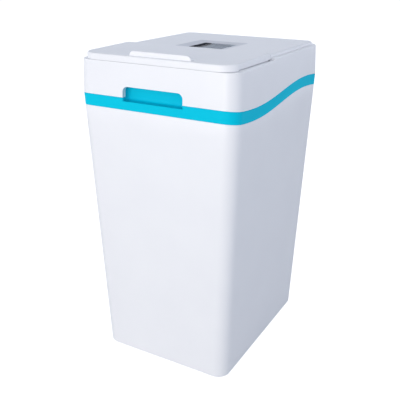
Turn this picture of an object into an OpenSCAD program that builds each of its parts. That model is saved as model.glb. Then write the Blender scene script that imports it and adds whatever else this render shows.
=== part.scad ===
// Cabinet water softener: a tapered brine tank with a wavy trim band and a lift-off top cover,
// holding a resin vessel with a motor-driven disc valve, and a brine well with a safety float.
// Millimetres. Origin at the centre of the base on the floor, +Z up, the front faces -Y.

/* [Cabinet] */
// Height of the deck and of the closed salt lid above the floor
cabinet_h = 650; // [640:1:680]
// Width across the trim band, level with its upper edge at the front
top_w = 343; // [335:1:360]
// Depth across the trim band, level with its upper edge at the front
top_d = 416; // [406:1:436]
// Width at the floor
base_w = 298; // [290:1:320]
// Depth at the floor
base_d = 381; // [376:1:400]
// Radius of the upright corners
corner_r = 27; // [22:1:38]
// Radius of the edge round the bottom
edge_r = 2.5; // [1:0.5:14]
// Wall of the brine tank
wall = 3.2; // [2.5:0.1:4.5]
// Thickness of the tank's floor
floor_t = 7; // [5:0.5:10]
// Depth of the four pockets under the tank
pocket_under = 2.5; // [1:0.5:3.5]

/* [Trim band] */
// Drop from the deck to the middle of the band's lower edge
band_drop = 96.8; // [90:0.2:104]
// Height of the band
band_h = 22.4; // [18:0.2:27]
// Thickness of the band
band_t = 3; // [2:0.1:4]
// Swing of the upper edge's wave along the sides
wave_up = 9.8; // [0:0.1:12]
// Swing of the lower edge's wave along the sides
wave_low = 8; // [0:0.1:10]
// Half the length of the wave
wave_half = 224; // [210:1:240]
// Rise of the tank's inner lip above the band
lip_rise = 8; // [4:0.5:12]
// Thickness of the tank's inner lip
lip_t = 2.4; // [1.6:0.1:3]

/* [Finger pocket] */
// Width of the pocket in the front
pocket_w = 131; // [110:1:150]
// Rise of the pocket above the middle of the band's upper edge
pocket_rise = 19; // [14:0.5:26]
// Sink of the pocket below the middle of the band's upper edge
pocket_sink = 9; // [5:0.5:12]
// Depth of the pocket behind the front
pocket_depth = 18; // [14:0.5:24]
// Radius of the pocket's upper corners
pocket_r = 11; // [6:0.5:14]
// Wall of the pocket's liner
liner_t = 2; // [1.5:0.1:3]

/* [Top cover] */
// Wall of the top cover and its deck
cover_t = 3; // [2.5:0.1:3.6]
// Inward lean of the cover's walls, per millimetre of height
draft = 0.037; // [0.02:0.001:0.05]
// Drop from the deck to the ledge along the sides and back
ledge_drop = 9.5; // [8:0.1:11]
// Drop from the deck to the seam under the lid's front
seam_drop = 12.2; // [11:0.1:14]
// Width of the ledge's flange, measured from the cover's outside
flange_w = 16; // [14:0.5:18]
// Thickness of the flange
flange_t = 6; // [5:0.5:7]
// Radius of the ledge's outer edge
rim_r = 3; // [1:0.5:4]
// Inset of the deck from the cover's sides and back
deck_inset = 8; // [6:0.5:10]
// Radius of the deck's upper edge
deck_r = 5; // [2:0.5:6]
// Depth of the wall that hangs from the deck's front edge
bridge_drop = 40; // [20:1:60]

/* [Salt lid] */
// Wall of the salt lid
lid_t = 3; // [2.5:0.1:3.6]
// Inset of the lid from the cover's sides
lid_inset = 7.5; // [4:0.5:8]
// Radius of the lid's front corners
lid_corner_r = 30; // [20:1:36]
// Radius of the lid's upper edge
lid_r = 4; // [3:0.5:8]
// Gap between the lid and what it closes on
lid_gap = 1.2; // [0.6:0.1:2]
// Hinge axis, forward of the middle of the cabinet
hinge_forward = 56; // [50:1:62]
// Radius of the lid's rounded rear edge about the hinge axis
nose_r = 8.5; // [7.5:0.1:9]
// Radius of the hinge pins
pin_r = 2; // [1.5:0.1:2.5]
// Width of the ears that hold the hinge pins
ear_w = 8; // [6:0.5:10]
// Width of the raised finger tab
tab_w = 130; // [100:1:150]
// Rise of the finger tab above the lid
tab_rise = 9; // [6:0.5:12]
// Length of the finger tab from its front face to where it meets the lid
tab_len = 30; // [20:1:40]
// Distance of the tab's front face behind the lid's front
tab_back = 8; // [8:0.5:26]
// Distance of the tab to the right of the middle
tab_x = 11; // [-20:1:20]
// Radius of the rubber bumpers under the lid
bumper_r = 4; // [3:0.5:5]

/* [Display window] */
// Width of the bezel in the deck
window_w = 116; // [112:1:126]
// Depth of the bezel from front to back
window_d = 109; // [105:1:112]
// Middle of the bezel behind the middle of the cabinet
window_back = 21.5; // [20:0.5:23]
// Depth of the display below the deck
window_sink = 3.2; // [2:0.1:4]
// Width of the controller's display face
face_w = 80; // [78:1:86]
// Depth of the controller's display face from front to back
face_d = 82; // [80:1:86]
// Gap between the display face and the bezel
face_gap = 1; // [0.6:0.1:2]
// Width of the keypad strip at the left of the display
keypad_w = 16; // [15:0.5:18]
// Width of a key
key_w = 10; // [8:0.5:11]
// Depth of a key from front to back
key_d = 13; // [10:0.5:14]
// Spacing of the keys
key_pitch = 18.5; // [17.5:0.5:19]
// Travel of a key
key_travel = 1; // [0.5:0.1:1.2]
// Rise of a key above the keypad strip
key_rise = 0.8; // [0.4:0.1:1.2]

/* [Resin vessel] */
// Outer radius of the vessel
vessel_r = 102; // [96:1:106]
// Room from the vessel's top up to the deck, for the valve and the controller
head_room = 207; // [199:1:219]
// Wall of the vessel
vessel_t = 3; // [2.5:0.1:5]
// Height of the domed ends
dome_h = 56; // [45:1:65]
// Outer radius of the neck
neck_r = 40; // [37:0.5:44]
// Radius of the neck's bore
neck_bore_r = 31; // [29:0.5:33]
// Height of the straight neck
neck_h = 26; // [22:1:32]
// Gap between the vessel and the tank's rear wall at the floor
vessel_gap = 5; // [3:0.5:8]
// Height of the vessel's foot
foot_h = 42; // [34:1:50]
// Drop from the vessel's top to the top of the resin bed
bed_drop = 132; // [102:5:232]
// Outer radius of the riser tube
riser_r = 13.5; // [12:0.5:15]
// Wall of the riser tube
riser_t = 2; // [1.5:0.1:2.5]
// Radius of the strainer at the bottom of the riser
strainer_r = 20; // [18:0.5:24]
// Height of the strainer at the bottom of the riser
strainer_h = 56; // [46:1:66]

/* [Control valve] */
// Radius of the valve body
valve_r = 44; // [42:0.5:48]
// Height from the vessel's top to the axis of the ports
port_rise = 46; // [42:0.5:50]
// Height from the vessel's top to the valve's top face
valve_h = 89; // [86:0.5:96]
// Thickness of the plate that closes the valve and carries the controller
plate_t = 14; // [12:0.5:18]
// Spacing of the inlet and outlet ports
port_spacing = 70; // [68:1:76]
// Length of the port bosses behind the vessel's axis
boss_len = 60; // [58:1:64]
// Radius of the port bosses
boss_r = 18; // [17:0.5:19]
// Radius of the water way in the ports
port_bore_r = 9.5; // [8:0.5:10]
// Radius of the pipe thread on the connectors
thread_r = 13.2; // [12.8:0.1:13.6]
// Length of the pipe thread
thread_len = 18; // [14:1:22]
// Radius of the drain spigot
drain_r = 6.5; // [6:0.5:7.5]
// Radius of the ceramic discs
disc_r = 24; // [20:0.5:26]
// Thickness of each ceramic disc
disc_t = 6; // [4:0.5:6]
// Radius of the shaft that turns the moving disc
shaft_r = 5; // [4:0.5:6]

/* [Valve drive] */
// Gear module
gear_module = 1.25; // [1.1:0.05:1.3]
// Teeth on the main gear
gear_teeth = 48; // [44:1:50]
// Teeth on the motor's pinion
pinion_teeth = 14; // [12:1:16]
// Width of the gears' faces
gear_t = 8; // [6:0.5:9]
// Radius of the motor
motor_r = 14; // [12:0.5:15]
// Height of the motor
motor_h = 30; // [24:1:34]
// Backlash taken off each tooth
backlash = 0.14; // [0.1:0.02:0.2]

/* [Brine well] */
// Outer radius of the brine well
well_r = 32; // [31:0.5:34]
// Wall of the brine well
well_t = 3; // [2:0.1:3.4]
// Drop from the deck to the top of the brine well
well_drop = 127; // [123:1:143]
// Gap between the well and the tank's walls at the floor
well_gap = 12; // [9:0.5:16]
// Radius of the float
float_r = 17; // [14:0.5:18]
// Height of the float
float_h = 56; // [40:1:80]
// Travel of the float
float_travel = 25; // [15:1:28]
// Outer radius of the brine line
line_r = 4.75; // [4:0.05:5]

/* [Overflow] */
// Drop from the axis of the ports to the overflow
overflow_drop = 89; // [59:1:129]
// Distance of the overflow to the right of the middle
overflow_x = 105; // [100:1:112]
// Radius of the overflow spigot
overflow_r = 8; // [7:0.5:9]

/* [Fits] */
// Gap between parts that slide past each other
slide_fit = 0.4; // [0.3:0.05:0.5]
// Gap between parts that are fixed together
seat_fit = 0.2; // [0.1:0.05:0.3]
// Radial play of a shaft in its bore
run_fit = 0.05; // [0.03:0.01:0.08]

/* [Hidden] */

$fn = 64;
eps = 0.01;
past = 1;

// Heights of the cabinet's parts
band_low_z = cabinet_h - band_drop;
band_up_z = band_low_z + band_h;
ledge_z = cabinet_h - ledge_drop;
seam_z = cabinet_h - seam_drop;
lip_z = band_up_z + lip_rise;
flange_z = ledge_z - flange_t;

// The upright walls lean outwards up to the band's upper edge, and inwards above it
function wave_at(y) = sin(180 * y / wave_half);
front_up_z = band_up_z + wave_up * wave_at(-top_d / 2);
lean_w = (top_w - base_w) / 2 / front_up_z;
lean_d = (top_d - base_d) / 2 / front_up_z;
lean_back = atan(lean_d);
function half_w(z, kink) = base_w / 2 + lean_w * min(z, kink) - draft * max(z - kink, 0);
function half_d(z, kink) = base_d / 2 + lean_d * min(z, kink) - draft * max(z - kink, 0);
cover_half_w = half_w(ledge_z, front_up_z);
cover_half_d = half_d(ledge_z, front_up_z);

// A ring of points round the cabinet: corner arcs, and a row of points along each wavy side
corner_steps = 6;
side_steps = 16;
function ring_corner(sx, sy, start) = [for (i = [0:corner_steps])
    let (a = start + 90 * i / corner_steps) [sx, sy, cos(a), sin(a)]];
function ring_side(sx, from) = [for (i = [1:side_steps - 1]) [sx, from * (1 - 2 * i / side_steps), sx, 0]];
ring = concat(ring_corner(1, 1, 0), ring_corner(-1, 1, 90), ring_side(-1, 1),
    ring_corner(-1, -1, 180), ring_corner(1, -1, 270), ring_side(1, -1));
least_r = 2;
function ring_y(u) = u[1] * (top_d / 2 - corner_r) + corner_r * u[3];
function ring_kink(u) = band_up_z + wave_up * wave_at(ring_y(u));
function ring_point(u, inset, z) = let (r = max(corner_r - inset, least_r), k = ring_kink(u))
    [u[0] * (half_w(z, k) - inset - r) + r * u[2], u[1] * (half_d(z, k) - inset - r) + r * u[3], z];
// A row is its inset from the outside, its height and the swing of its wave
function cabinet_row(row) = [for (u = ring) ring_point(u, row[0], row[1] + row[2] * wave_at(ring_y(u)))];
// A quarter-round edge, from an upright face to a level one
edge_steps = 4;
function edge_rows(r, z, turn) = [for (i = [0:edge_steps]) let (a = 90 * i / edge_steps)
    [r * (1 - cos(a)), z + turn * r * sin(a), 0]];
function reverse(list) = [for (i = [len(list) - 1:-1:0]) list[i]];

// Skins a stack of rings that run counter-clockwise seen from above, and closes its ends with fans
function ring_middle(points) = [for (p = points) 1] * points / len(points);
module loft(rings, loop = false) {
    count = len(rings[0]);
    rows = len(rings);
    last = loop ? rows - 1 : rows - 2;
    walls = [for (j = [0:last]) for (k = [0:count - 1])
        let (a = j * count + k, b = j * count + (k + 1) % count, up = (j + 1) % rows * count,
            c = up + (k + 1) % count, d = up + k)
        each [[a, d, c], [a, c, b]]];
    first_hub = rows * count;
    top = (rows - 1) * count;
    ends = loop ? [] : [for (k = [0:count - 1]) each [[first_hub, k, (k + 1) % count],
        [first_hub + 1, top + (k + 1) % count, top + k]]];
    hubs = loop ? [] : [ring_middle(rings[0]), ring_middle(rings[rows - 1])];
    polyhedron(concat([for (r = rings) each r], hubs), concat(walls, ends), convexity = 10);
}

// A ring round a rectangle with one radius at its front corners and one at its back corners
function box_ring(x, y0, y1, front_r, back_r, z) = concat(
    [for (i = [0:corner_steps]) let (a = 90 * i / corner_steps)
        [x - back_r + back_r * cos(a), y1 - back_r + back_r * sin(a), z]],
    [for (i = [0:corner_steps]) let (a = 90 + 90 * i / corner_steps)
        [-x + back_r + back_r * cos(a), y1 - back_r + back_r * sin(a), z]],
    [for (i = [0:corner_steps]) let (a = 180 + 90 * i / corner_steps)
        [-x + front_r + front_r * cos(a), y0 + front_r + front_r * sin(a), z]],
    [for (i = [0:corner_steps]) let (a = 270 + 90 * i / corner_steps)
        [x - front_r + front_r * cos(a), y0 + front_r + front_r * sin(a), z]]);

module rounded_square(w, d, r) {
    square([w - 2 * r, d], center = true);
    square([w, d - 2 * r], center = true);
    for (sx = [-1, 1], sy = [-1, 1]) translate([sx * (w / 2 - r), sy * (d / 2 - r)]) circle(r);
}

module rounded_block(w, d, h, r) {
    linear_extrude(h) rounded_square(w, d, r);
}

module tube(r, bore, h) {
    difference() {
        cylinder(r = r, h = h);
        translate([0, 0, -past]) cylinder(r = bore, h = h + 2 * past);
    }
}

// Turns a shape built along +Z so that it runs along +Y, towards the back, or along +X
module along_y() {
    rotate([-90, 0, 0]) children();
}

module along_x() {
    rotate([0, 90, 0]) children();
}

// Finger pocket
pocket_top = band_up_z + pocket_rise;
pocket_low = band_up_z - pocket_sink;
pocket_face = -(half_d(band_up_z, front_up_z) - pocket_depth);
liner_rise = 6;
liner_top = pocket_top + liner_rise;
liner_low = pocket_low - liner_t;
liner_w = pocket_w + 2 * liner_t;
liner_back = pocket_face + liner_t;
pocket_low_r = 2;

// The pocket's outline, seen from the front, with its corners rounded
module pocket_outline() {
    hw = pocket_w / 2;
    translate([-hw + pocket_r, pocket_top - pocket_r]) circle(pocket_r);
    translate([hw - pocket_r, pocket_top - pocket_r]) circle(pocket_r);
    translate([-hw + pocket_r, pocket_low]) square([pocket_w - 2 * pocket_r, pocket_top - pocket_low]);
    translate([-hw, pocket_low + pocket_low_r])
        square([pocket_w, pocket_top - pocket_r - pocket_low - pocket_low_r]);
    translate([-hw + pocket_low_r, pocket_low]) square([pocket_w - 2 * pocket_low_r, pocket_low_r]);
    for (s = [-1, 1]) translate([s * (hw - pocket_low_r), pocket_low + pocket_low_r]) circle(pocket_low_r);
}

module pocket_cut(from, to) {
    translate([0, to, 0]) rotate([90, 0, 0]) linear_extrude(to - from) pocket_outline();
}

// Resin vessel
tank_floor = floor_t;
vessel_lift = 4;
vessel_z = tank_floor + vessel_lift;
vessel_top = cabinet_h - head_room;
vessel_y = base_d / 2 - wall - vessel_gap - vessel_r;
dome_steps = 14;
// Half of a domed end, from the angle at its start to the angle at its end, 0 at the pole
function dome(r, h, z, start, end) = [for (i = [0:dome_steps])
    let (a = start + (end - start) * i / dome_steps) [r * sin(a), z + h * cos(a)]];
dome_low_z = vessel_z + dome_h;
dome_top_z = vessel_top - neck_h - dome_h * cos(asin(neck_r / vessel_r));
function vessel_outside(gap) = concat(
    dome(vessel_r + gap, -dome_h - gap, dome_low_z, 0, 90),
    dome(vessel_r + gap, dome_h + gap, dome_top_z, 90, asin((neck_r + gap) / (vessel_r + gap))));
function vessel_inside(gap, neck) = concat(
    dome(vessel_r - vessel_t - gap, dome_h - vessel_t - gap, dome_top_z,
        asin(neck / (vessel_r - vessel_t - gap)), 90),
    dome(vessel_r - vessel_t - gap, -dome_h + vessel_t + gap, dome_low_z, 90, 0));
foot_r = vessel_r - 6;
foot_t = 20;
foot_ring_h = 5;
foot_ring_t = 3;
strainer_low = vessel_z + vessel_t + 2;
strainer_socket = 16;
strainer_floor = 4;
top_strainer_h = 46;
top_strainer_r = neck_bore_r - 2;
neck_plug_h = 22;
slot_pitch = 5;
slot_h = 1.6;
slot_deep = 1.2;
slot_margin = 8;

module at_vessel(z = 0) {
    translate([0, vessel_y, z]) children();
}

// Rear panel and the things that pass through the tank's back wall
port_z = vessel_top + port_rise;
port_x = port_spacing / 2;
panel_w = 190;
panel_h = 86;
panel_t = 3;
panel_r = 8;
panel_lap = 14;
panel_room = 1.5;
side_gap = 1;
drain_gap = 18;
side_end = port_x + boss_r + side_gap;
drain_x = side_end + drain_gap;
overflow_z = port_z - overflow_drop;
socket_x = -drain_x;
socket_deep = 8;
socket_r = 5.5;
screw_r = 1.5;
screw_head_r = 3.5;
screw_head_t = 2.2;
screw_inset = 7;
overflow_flange_r = 2 * overflow_r;
overflow_flange_t = 4;
overflow_t = 2;
overflow_out = 30;
overflow_in = 16;
gasket_t = 2;
overflow_nut_t = 8;

// Puts a shape on the outside of the tank's back wall, square to it, with +Z leaving the wall
module on_back_wall(x, z) {
    translate([x, half_d(z, front_up_z), z]) rotate([-90 - lean_back, 0, 0]) children();
}

module panel_screw_places() {
    for (sx = [-1, 1], sy = [-1, 1])
        translate([sx * (panel_w / 2 - screw_inset), sy * (panel_h / 2 - screw_inset), 0]) children();
}

// Control valve
valve_z = vessel_top;
plate_z = valve_z + valve_h;
housing_z = plate_z + plate_t;
boss_end = vessel_y + boss_len;
spigot_r = 12;
spigot_len = 16;
collar_r = 16;
collar_t = 5;
collar_lap = 1.4;
thread_deep = 1.2;
plate_screw_deep = 20;
seal_r = 0.8;
seal_w = 2.4;
seal_back = 8;
groove_r = spigot_r + seat_fit - 2 * seal_r - 2 * eps;
neck_seal_r = 2;
neck_seal_mid = (neck_bore_r + neck_r) / 2;
skirt_w = 4;
skirt_h = 18;
riser_grip = 14;
clip_reach = 5;
clip_lip = 2;
injector_r = 15;
injector_len = 14;
injector_bore_r = 7;
injector_cap_t = 6;
side_boss_r = 11;
side_bore_r = 5.5;
side_plug = 10;
drain_t = 2;
drain_tail = 20;
chamber_r = disc_r + 1;
drive_room = 4;
chamber_z = plate_z - 2 * disc_t - drive_room;
turbine_r = 9.8;
turbine_len = 11;
turbine_bore_r = turbine_r + 1.2;
turbine_room = 8;
turbine_y = boss_end - spigot_len - turbine_room - turbine_len;
axle_r = 1.2;
thread_out = 8;
thread_end = half_d(port_z, front_up_z) + panel_t + thread_out + thread_len;

// Drive gears
mesh_dist = gear_module * (gear_teeth + pinion_teeth) / 2;
gear_lift = 6;
gear_z = housing_z + gear_lift;
pinion_y = vessel_y - mesh_dist;
pressure_angle = 25;
flank_steps = 5;
bracket_z = gear_z + gear_t + drive_room;
bracket_t = 3;
motor_shaft_r = 1.5;
motor_grip = 6;

// Controller
housing_w = 144;
housing_lap = 6;
housing_front = window_back - window_d / 2 - housing_lap;
housing_back = vessel_y + valve_r + 2;
housing_d = housing_back - housing_front;
housing_y = (housing_back + housing_front) / 2;
housing_t = 2.5;
face_z = cabinet_h - window_sink;
face_rise = 15;
housing_top = face_z - face_rise;
housing_r = 8;
lens_t = 3.4;
shelf_t = 2;
shelf_w = 2;
face_wall = 2;
face_r = 4;
opening_w = face_w - 2 * face_wall;
opening_d = face_d - 2 * face_wall;
keypad_x = -opening_w / 2 + keypad_w / 2;
lens_w = opening_w - keypad_w - seat_fit;
lens_x = opening_w / 2 - lens_w / 2;
board_drop = 4;
board_z = housing_top - housing_t - board_drop;
board_t = 1.6;
board_lap_w = 8;
board_lap_d = 7;
board_w = opening_w + 2 * board_lap_w;
board_d = opening_d + 2 * board_lap_d;
board_r = 2;
stake_inset = 4;
stake_r = 1.4;
stake_boss_r = 3.5;
switch_w = 6;
switch_h = 3.4;
post_r = 5;
post_h = 24;
key_lip = 1;
key_lip_t = 2;
key_lip_z = face_z - lens_t - seat_fit;
key_corner_r = 1.5;
key_stem_r = 2;
key_count = 4;
function key_y(i) = window_back + key_pitch * (i - (key_count - 1) / 2);

module at_face(z = 0) {
    translate([0, window_back, z]) children();
}

module housing_post_places() {
    for (sx = [-1, 1], sy = [-1, 1])
        translate([sx * (housing_w / 2 - housing_t - post_r + past),
            housing_y + sy * (housing_d / 2 - housing_t - post_r + past), 0]) children();
}

module stake_places() {
    for (sx = [-1, 1], sy = [-1, 1])
        translate([sx * (board_w / 2 - stake_inset), window_back + sy * (board_d / 2 - stake_inset), 0])
            children();
}

// Salt lid
hinge_y = -hinge_forward;
hinge_z = cabinet_h - nose_r;
deck_front = hinge_y + nose_r + lid_gap;
deck_half_w = cover_half_w - deck_inset;
deck_back = cover_half_d - deck_inset;
lid_half_w = cover_half_w - lid_inset;
lid_front = -half_d(seam_z, front_up_z);
ear_in = deck_half_w - ear_w;
nose_half_w = ear_in - slide_fit;
front_cut = -(cover_half_d - corner_r);
pin_grip = 9;
cheek_w = 8;
hinge_room = 1.5;
tab_r = 8;
bumper_x = 100;

// Brine well
well_x = -(half_w(tank_floor, front_up_z) - wall - well_gap - well_r);
well_y = -(half_d(tank_floor, front_up_z) - wall - 2 * well_gap - well_r);
well_top = cabinet_h - well_drop;
well_h = well_top - tank_floor;
stub_drop = 24;
stub_z = well_top - stub_drop;
stub_r = 8;
stub_bore_r = 3.5;
stub_len = 16;
line_grip = 9;
brine_valve_r = 22;
brine_valve_h = 34;
brine_valve_z = stub_z - brine_valve_h / 2;
pickup_x = 16;
pickup_r = 5;
pickup_t = 1.5;
pickup_grip = 12;
cage_r = 9;
cage_h = 44;
cage_t = 2.4;
cage_low = tank_floor + 8;
cage_grip = 10;
ball_r = 5;
ball_travel = 8;
rod_x = -9;
rod_r = 2;
rod_len = 230;
rod_grip = 4;
rod_tail = 20;
float_z = brine_valve_z + rod_grip - rod_len + rod_tail;
well_ring_h = 5;
well_slot_low = 20;
cap_t = 3;
cap_skirt = 10;

module at_well(z = 0) {
    translate([well_x, well_y, z]) children();
}

// Brine line: a curve that leaves the valve to the left and reaches the well from behind
fitting_len = 16;
socket_t = 2.5;
line_start = [-side_end - fitting_len + line_grip, vessel_y, port_z];
line_end = [well_x, well_y + well_r + stub_len - line_grip, stub_z];
line_run = line_grip + line_r;
line_lead = 70;
line_sides = 10;
line_steps = 26;
line_wall = 1.4;
function mix3(a, b, c, d, t) = pow(1 - t, 3) * a + 3 * pow(1 - t, 2) * t * b
    + 3 * (1 - t) * t * t * c + pow(t, 3) * d;
bend_start = line_start - [line_run, 0, 0];
bend_end = line_end + [0, line_run, 0];
function line_point(t) = mix3(bend_start, bend_start - [line_lead, 0, 0],
    bend_end + [0, line_lead, 0], bend_end, t);
function unit(v) = v / norm(v);
line_probe = 0.001;
function line_way(t) = t <= 0 ? [-1, 0, 0] : t >= 1 ? [0, -1, 0]
    : unit(line_point(t + line_probe) - line_point(t - line_probe));
// Each spot along the line is a point and the way that the line runs there, straight in its two sockets
line_spots = concat([[line_start, line_way(0)]],
    [for (i = [0:line_steps]) let (t = i / line_steps) [line_point(t), line_way(t)]],
    [[line_end, line_way(1)]]);
function line_ring(spot, r) = let (way = spot[1], side = unit(cross([0, 0, 1], way)), up = cross(way, side))
    [for (i = [0:line_sides - 1]) let (a = 360 * i / line_sides)
        spot[0] + r * (cos(a) * side + sin(a) * up)];

// The tapered outer tank of the cabinet: its wall steps in at the top to a lip inside the band and cover
module brine_tank() {
    seat = band_t + slide_fit;
    ramp = 8;
    rows = concat(reverse(edge_rows(edge_r, edge_r, -1)),
        [[0, band_low_z, wave_low], [seat, band_low_z, wave_low], [seat, lip_z, wave_up],
        [seat + lip_t, lip_z, wave_up], [seat + lip_t, band_low_z - ramp, wave_low],
        [wall, band_low_z - 2 * ramp, wave_low], [wall, tank_floor, 0]]);
    rim = 12;
    rib = 10;
    under_w = base_w / 2 - edge_r - rim;
    under_d = base_d / 2 - edge_r - rim;
    color("white") difference() {
        union() {
            loft([for (r = rows) cabinet_row(r)]);
            at_vessel(tank_floor - past)
                tube(foot_r + seat_fit + foot_ring_t, foot_r + seat_fit, foot_ring_h + past);
            at_well(tank_floor - past)
                tube(well_r + seat_fit + foot_ring_t, well_r + seat_fit, well_ring_h + past);
        }
        for (sx = [-1, 1], sy = [-1, 1])
            translate([sx * (under_w + rib) / 2, sy * (under_d + rib) / 2, -past])
                rounded_block(under_w - rib, under_d - rib, pocket_under + past, rib);
        translate([-liner_w / 2 - past, -top_d, liner_low - seat_fit])
            cube([liner_w + 2 * past, top_d + liner_back + past, cabinet_h]);
        on_back_wall(0, port_z) translate([0, 0, -2 * wall])
            rounded_block(panel_w - 2 * panel_lap, panel_h - 2 * panel_lap, 4 * wall, panel_r);
        on_back_wall(0, port_z) panel_screw_places()
            translate([0, 0, -wall - past]) cylinder(r = screw_r + run_fit, h = wall + 2 * past);
        on_back_wall(overflow_x, overflow_z) translate([0, 0, -wall - past])
            cylinder(r = overflow_r + seat_fit, h = wall + 2 * past);
    }
}

// The coloured band between tank and cover, notched round the mouth of the finger pocket
module trim_band() {
    gap = seat_fit;
    color("deepskyblue") difference() {
        loft([for (r = [[0, band_low_z + gap, wave_low], [0, band_up_z - gap, wave_up],
            [band_t, band_up_z - gap, wave_up], [band_t, band_low_z + gap, wave_low]])
            cabinet_row(r)], loop = true);
        pocket_cut(-top_d, pocket_face);
    }
}

// The liner of the finger pocket: a tray, open to the front and above, that stands on the tank's lip
module pocket_liner() {
    behind_band = band_t + seat_fit - half_d(liner_low, front_up_z);
    behind_cover = cover_t + slide_fit + past - half_d(front_up_z, front_up_z);
    color("deepskyblue") difference() {
        union() {
            translate([-liner_w / 2, behind_band, liner_low])
                cube([liner_w, liner_back - behind_band, front_up_z - seat_fit - liner_low]);
            translate([-liner_w / 2, behind_cover, liner_low])
                cube([liner_w, liner_back - behind_cover, liner_top - liner_low]);
        }
        pocket_cut(-top_d, pocket_face);
        translate([-pocket_w / 2, -top_d, pocket_top - pocket_r])
            cube([pocket_w, top_d + pocket_face, liner_top]);
    }
}

// The lift-off cover: walls, a ledge, the raised rear deck with its window, and the lid's hinge ears
module top_cover() {
    gap = seat_fit;
    outer = [for (e = edge_rows(rim_r, ledge_z - rim_r, 1)) cabinet_row(e)];
    wall_rows = concat([cabinet_row([0, band_up_z + gap, wave_up])], outer,
        [for (r = [[flange_w, ledge_z, 0], [flange_w, flange_z, 0], [cover_t, flange_z, 0],
            [cover_t, band_up_z + gap, wave_up]]) cabinet_row(r)]);
    deck_corner = corner_r - deck_inset;
    deck_front_r = 2;
    under = [for (r = [[cover_t, cabinet_h - cover_t], [cover_t, flange_z], [0, flange_z]])
        box_ring(deck_half_w - r[0], deck_front + r[0], deck_back - r[0], deck_front_r,
            deck_corner - r[0], r[1])];
    over = [for (e = edge_rows(deck_r, cabinet_h - deck_r, 1))
        box_ring(deck_half_w - e[0], deck_front, deck_back - e[0], deck_front_r, deck_corner, e[1])];
    hole_w = window_w + 2 * seat_fit;
    hole_d = window_d + 2 * seat_fit;
    color("white") difference() {
        union() {
            difference() {
                loft(wall_rows, loop = true);
                translate([-top_w, -top_d, seam_z]) cube([2 * top_w, top_d + front_cut, cabinet_h]);
            }
            loft(concat(under, over));
            translate([-ear_in, deck_front, ledge_z - bridge_drop])
                cube([2 * ear_in, cover_t, bridge_drop]);
            for (s = [-1, 1]) ear(s);
        }
        pocket_cut(-top_d, pocket_face);
        at_face(cabinet_h - 2 * cover_t) rounded_block(hole_w, hole_d, 4 * cover_t, face_r + seat_fit);
        translate([-deck_half_w - past, hinge_y, hinge_z]) along_x()
            cylinder(r = pin_r, h = 2 * deck_half_w + 2 * past);
    }
}

// An ear beside the lid's rear edge, rounded about the hinge axis and along the deck's edge
module ear(side) {
    reach = deck_front + cover_t - hinge_y;
    intersection() {
        translate([side * (ear_in + ear_w / 2) - ear_w / 2, hinge_y, hinge_z]) {
            along_x() cylinder(r = nose_r, h = ear_w);
            translate([0, 0, -nose_r]) cube([ear_w, reach, 2 * nose_r]);
        }
        translate([0, hinge_y + reach, cabinet_h - deck_half_w]) rotate([90, 0, 0])
            linear_extrude(reach + 2 * nose_r) rounded_square(2 * deck_half_w, 2 * deck_half_w, deck_r);
    }
}

// A shallow sloping frame clipped into the deck round the controller's display
module window_bezel() {
    in_w = face_w / 2 + face_gap;
    in_d = face_d / 2 + face_gap;
    lap = 4;
    low_z = cabinet_h - cover_t - seat_fit;
    frame_t = 3;
    function frame(w, d, z) = box_ring(w, window_back - d, window_back + d, face_r, face_r, z);
    color("gainsboro") loft([frame(window_w / 2 + lap, window_d / 2 + lap, low_z - frame_t),
        frame(window_w / 2 + lap, window_d / 2 + lap, low_z), frame(window_w / 2, window_d / 2, low_z),
        frame(window_w / 2, window_d / 2, cabinet_h), frame(in_w, in_d, cabinet_h - window_sink),
        frame(in_w, in_d, low_z - frame_t)], loop = true);
}

// The hinged front lid: a shallow tray upside down, with a rounded rear edge and a raised finger tab
module salt_lid() {
    low_z = seam_z + lid_gap / 2;
    side_low_z = ledge_z + lid_gap;
    rear = hinge_y;
    rear_r = least_r / 2;
    under = [for (r = [[lid_t, cabinet_h - lid_t], [lid_t, low_z], [0, low_z]])
        box_ring(lid_half_w - r[0], lid_front + r[0], rear - r[0], lid_corner_r - r[0], rear_r, r[1])];
    over = [for (e = edge_rows(lid_r, cabinet_h - lid_r, 1))
        box_ring(lid_half_w - e[0], lid_front + e[0], rear, lid_corner_r, rear_r, e[1])];
    notch_y = hinge_y - nose_r - hinge_room;
    tab_y = lid_front + tab_back;
    cheek_places = [-nose_half_w, nose_half_w - cheek_w];
    color("white") difference() {
        union() {
            difference() {
                loft(concat(under, over));
                translate([-top_w, front_cut - lid_gap, low_z - past])
                    cube([2 * top_w, top_d, side_low_z - low_z + past]);
                for (s = [-1, 1]) translate([s * (nose_half_w + top_w / 2), notch_y + top_d / 2, cabinet_h])
                    cube([top_w, top_d, 4 * nose_r], center = true);
            }
            intersection() {
                translate([-nose_half_w, hinge_y, hinge_z]) along_x()
                    tube(nose_r, nose_r - lid_t, 2 * nose_half_w);
                translate([-top_w / 2, hinge_y, hinge_z - nose_r / 2])
                    cube([top_w, 2 * nose_r, 2 * nose_r]);
            }
            for (x = cheek_places) translate([x, hinge_y, hinge_z]) along_x()
                cylinder(r = nose_r - lid_t / 4, h = cheek_w);
            tab(tab_y);
        }
        for (x = cheek_places) translate([x - past, hinge_y, hinge_z]) along_x()
            cylinder(r = pin_r + run_fit, h = cheek_w + 2 * past);
    }
}

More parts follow.
